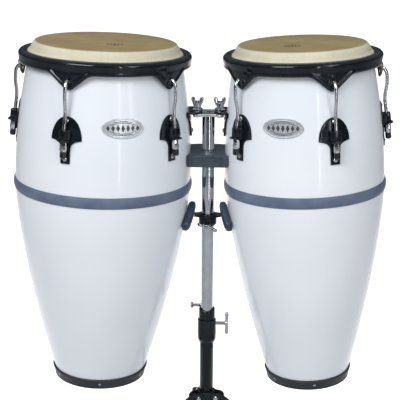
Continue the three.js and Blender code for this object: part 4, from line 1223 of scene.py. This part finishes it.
def build_collar():
    """The height collar: a body with a chamfered foot, a grooved neck that dips in front, and two ears."""
    seat = LOWER_RADIUS + GAP
    radius, step = seat + 5, COLLAR_STEP
    neck = TUBE_RADIUS + 4.3
    body = spun([
        (seat, 310), (seat + 1.6, 310, 0.6), (radius - 0.6, 317, 2), (radius, 330, 2),
        (radius - 0.5, step, 1.2), (seat, step),
    ], 80)

    def dip(angle, _, z):
        return z - 4.5 * smooth(z, 379, 384) * max(0, -math.sin(angle)) ** 2

    top = spun([
        (BORE, 361.4), (neck - 0.6, 361.4), (neck, 363, 0.6), (neck, 370, 0.5), (neck - 0.8, 370.8, 0.3),
        (neck, 371.6, 0.5), (neck, 377, 0.5), (neck - 0.8, 377.8, 0.3), (neck, 378.6, 0.5),
        (neck - 0.2, 385.4, 1.2), (BORE + 0.8, 385.9, 0.4), (BORE, 384.5),
    ], 80, 3, dip)
    ear = alongx(plate(slab(14, 19, 4.5), 0, 7.6, 1.2, 4))
    ears = ear.at(-8.8, BORE + 8, 381) + ear.at(1.2, BORE + 8, 381)
    piece("fine_height_collar", body + top + ears, "satin", "base", TUBE, ["height_collar"])


def build_screws():
    axis = TUBE.translation.x
    spot = Matrix.Translation((axis, TUBE.translation.y, centre("height_screw").z))
    lie = turned_about(90, "Y")
    start, reach = TUBE_RADIUS + GAP, 42.5
    shank = spun([(0, start), (3.6, start, 0.5), (4, 18, 0.4), (4, reach), (0, reach)], 32, 3)
    hub = spun([
        (0, reach - 4.6), (5.4, reach - 4.6, 1), (6.5, reach - 1, 1), (6.4, reach + 2.4, 2), (0, reach + 3.6),
    ], 32)
    lobe = spun([(0, 0), (3.1, 0), (3.4, 6, 2), (4.0, 15, 5), (3.6, 20, 3), (0, 21.4)], 28, 5)
    lobe = lobe.bent(lambda p: Vector((p.x, 0.86 * p.y, p.z)))
    lobes = together(lobe.turned(90 * side, "Y").at(4 * side, 0, reach) for side in (-1, 1))
    piece("fine_height_screw", shank + hub + lobes, "chrome", "height_screw", spot @ lie, ["height_screw"])
    spot = Matrix.Translation((axis, centre("pinch_screw").y, centre("pinch_screw").z))
    lie = turned_about(-90, "Y")
    shank = spun([(0, -9), (3.7, -9, 0.6), (3.7, 31), (0, 31)], 32, 3)
    head = spun([
        (0, 29.8), (6.2, 29.8, 0.8), (7, 31.4, 0.5), (7, 34.6, 0.8), (5, 36, 1.5), (0, 36),
    ], 36, 3)
    piece("fine_pinch_screw", shank + head, "chrome", "pinch_screw", spot @ lie, ["pinch_screw"])


def build_tripod():
    place = TUBE @ Matrix.Translation((0, 0, HUB_Z * MM))
    piece("fine_leg_hub", clevis_ring(16, 4.0, 0, LOWER_RADIUS + 0.4), "satin", "hub", place, ["leg_hub"])
    outline = arc(0, 0, 7, 90, 270, 16) + [(LEG_LENGTH - 14, -7), (LEG_LENGTH - 14, 7)]
    bar = alongy(plate(outline, -8, 8, 2.2, 7, [circle(4.4, 24)])).turned(LEG_SLOPE, "Y")
    link = arc(0, 0, 6.5, 90, 270, 14) + arc(BRACE_LENGTH, 0, 6.5, -90, 90, 14)
    strap = alongy(plate(link, -12.1, -8.6, 0.9, 5, [circle(3.4, 20)])).turned(-LEG_SLOPE, "Y")
    rivet = bolt_head(5.2, 2.6, slot=False)
    caps = together(rivet.turned(90 * s, "X").at(0, -s * 12.4, 0) for s in (-1, 1))
    slope = math.radians(LEG_SLOPE)
    end = rivet.turned(-90, "X").at(BRACE_LENGTH * math.cos(slope), 12.4, BRACE_LENGTH * math.sin(slope))
    for k in range(3):
        leg, brace = f"leg_{k + 1}", f"brace_{k + 1}"
        heading = turned_about(leg_heading(k), "Z")
        place = TUBE @ heading @ Matrix.Translation((PIVOT_RADIUS * MM, 0, HUB_Z * MM))
        piece(f"fine_{leg}", bar, "satin", leg, place, [leg])
        piece(f"leg_shoe_{k + 1}", shoe_form(), "black_rubber", leg, place)
        piece(f"leg_pin_heads_{k + 1}", caps, "chrome", "hub", place)
        foot = JOINTS[f"{brace}_hinge"]["pos_m"][2] / MM
        low = TUBE @ heading @ Matrix.Translation((PIVOT_RADIUS * MM, 0, foot * MM))
        piece(f"fine_{brace}", strap, "satin", brace, low, [brace])
        piece(f"brace_rivet_{k + 1}", end, "chrome", brace, low)


def shoe_form():
    """A rubber shoe: a sleeve round the leg's end that spreads into a flat sole."""
    low, high = -HUB_Z, -HUB_Z + 25
    start, end = LEG_LENGTH - 46, LEG_LENGTH - 16

    def narrowed(p):
        share = smooth(p.z, -HUB_Z + 6, high)
        return Vector((p.x * (1 - 0.16 * share), p.y * (1 - 0.2 * share), p.z))

    sole = plate(slab(36, 28, 7), low, high, 2.2, 5).bent(narrowed)
    sleeve = [(start, -8.6), (end, -8.6), (end, 8.6), (start, 8.6)]
    sleeve = alongy(plate(sleeve, -9.6, 9.6, 2.6, 6)).turned(LEG_SLOPE, "Y")
    return sole.at(math.cos(math.radians(LEG_SLOPE)) * LEG_LENGTH - 12, 0, 0) + sleeve


# ---- Camera, light and floor ---------------------------------------------------------------------------

CAMERA_OFFSET = Vector((0.043, -2.1285, 1.2378))
PITCH, YAW, ROLL = 0.2808, -0.0153, 0.0096
LENS = 96.64
SHIFT_X = -0.03225
FLOOR = 40


def add_camera():
    forward = Vector((math.sin(YAW) * math.cos(PITCH), math.cos(YAW) * math.cos(PITCH), -math.sin(PITCH)))
    right = Vector((math.cos(YAW), -math.sin(YAW), 0))
    up = right.cross(forward)
    across = right * math.cos(ROLL) + up * math.sin(ROLL)
    upright = up * math.cos(ROLL) - right * math.sin(ROLL)
    turn = Matrix((across, upright, -forward)).transposed().to_4x4()
    place = Matrix.Translation(TUBE.translation + CAMERA_OFFSET) @ turn
    camera = placed("camera", bpy.data.cameras.new("camera"), place)
    camera.data.lens = LENS
    camera.data.sensor_width = 36
    camera.data.shift_x = SHIFT_X
    bpy.context.scene.camera = camera


def add_area(name, spot, target_z, size, power):
    aim = (Vector(spot) - Vector((0, 0, target_z))).to_track_quat("Z", "Y").to_matrix().to_4x4()
    light = placed(name, bpy.data.lights.new(name, "AREA"), Matrix.Translation(spot) @ aim)
    light.data.shape = "RECTANGLE"
    light.data.size, light.data.size_y = size
    light.data.energy = power


def add_floor():
    """A pale studio floor that glows behind the object, where the backdrop light falls on it."""
    mesh = bpy.data.meshes.new("floor")
    corners = [(x * FLOOR, y * FLOOR, 0) for x, y in ((-1, -1), (1, -1), (1, 1), (-1, 1))]
    mesh.from_pydata(corners, [], [(0, 1, 2, 3)])
    made = Finish("floor", (0.5, 0.5, 0.5), 0.9)
    made.shader.inputs["Emission Color"].default_value = (1, 1, 1, 1)
    behind = made.between(made.axis("Y"), -0.5, 0.32, 0, 1.0)
    spread = made.node("ShaderNodeMath", operation="ABSOLUTE")
    made.link(made.axis("X"), spread.inputs[0])
    reach = made.node("ShaderNodeMath", operation="MULTIPLY_ADD")
    made.link(made.axis("Y"), reach.inputs[0])
    reach.inputs[1].default_value = -0.2
    made.link(spread.outputs[0], reach.inputs[2])
    beside = made.between(reach.outputs[0], 0.45, 1.7, 1, 0.05)
    glow = made.node("ShaderNodeMath", operation="MULTIPLY")
    made.link(behind, glow.inputs[0])
    made.link(beside, glow.inputs[1])
    made.link(glow.outputs[0], made.shader.inputs["Emission Strength"])
    made.specular(0.1)
    mesh.materials.append(made.material)
    placed("floor", mesh)


def add_world():
    """Dim round the horizon and bright overhead, as a studio is."""
    world = bpy.data.worlds.new("studio")
    world.use_nodes = True
    nodes, links = world.node_tree.nodes, world.node_tree.links
    split_up = nodes.new("ShaderNodeSeparateXYZ")
    links.new(nodes.new("ShaderNodeTexCoord").outputs["Generated"], split_up.inputs[0])
    rise = nodes.new("ShaderNodeMapRange")
    for name, value in (("From Min", 0.12), ("From Max", 0.8), ("To Min", 0.05), ("To Max", 0.5)):
        rise.inputs[name].default_value = value
    links.new(split_up.outputs["Z"], rise.inputs["Value"])
    links.new(rise.outputs["Result"], nodes["Background"].inputs["Strength"])
    nodes["Background"].inputs["Color"].default_value = (0.9, 0.94, 1.0, 1)
    bpy.context.scene.world = world


add_camera()
add_floor()
add_world()
add_area("key", (-1.6, -2.7, 3.0), 0.6, (1.8, 1.6), 97)
add_area("fill", (2.2, -2.4, 2.9), 0.6, (1.0, 1.6), 22)
add_area("strip", (1.05, -2.7, 1.2), 1.0, (0.09, 2.3), 9)
add_area("wide_strip", (1.75, -2.3, 1.5), 1.0, (0.3, 1.6), 8)
add_area("top", (0, 0.6, 3.0), 0.8, (2.4, 0.5), 10)
bpy.context.scene.view_settings.view_transform = "Standard"

for label in DRUMS:
    build_drum(label)
build_plate()
build_plate_wings()
build_cushion()
build_yoke()
build_bumpers()
build_tubes()
build_collar()
build_screws()
build_tripod()
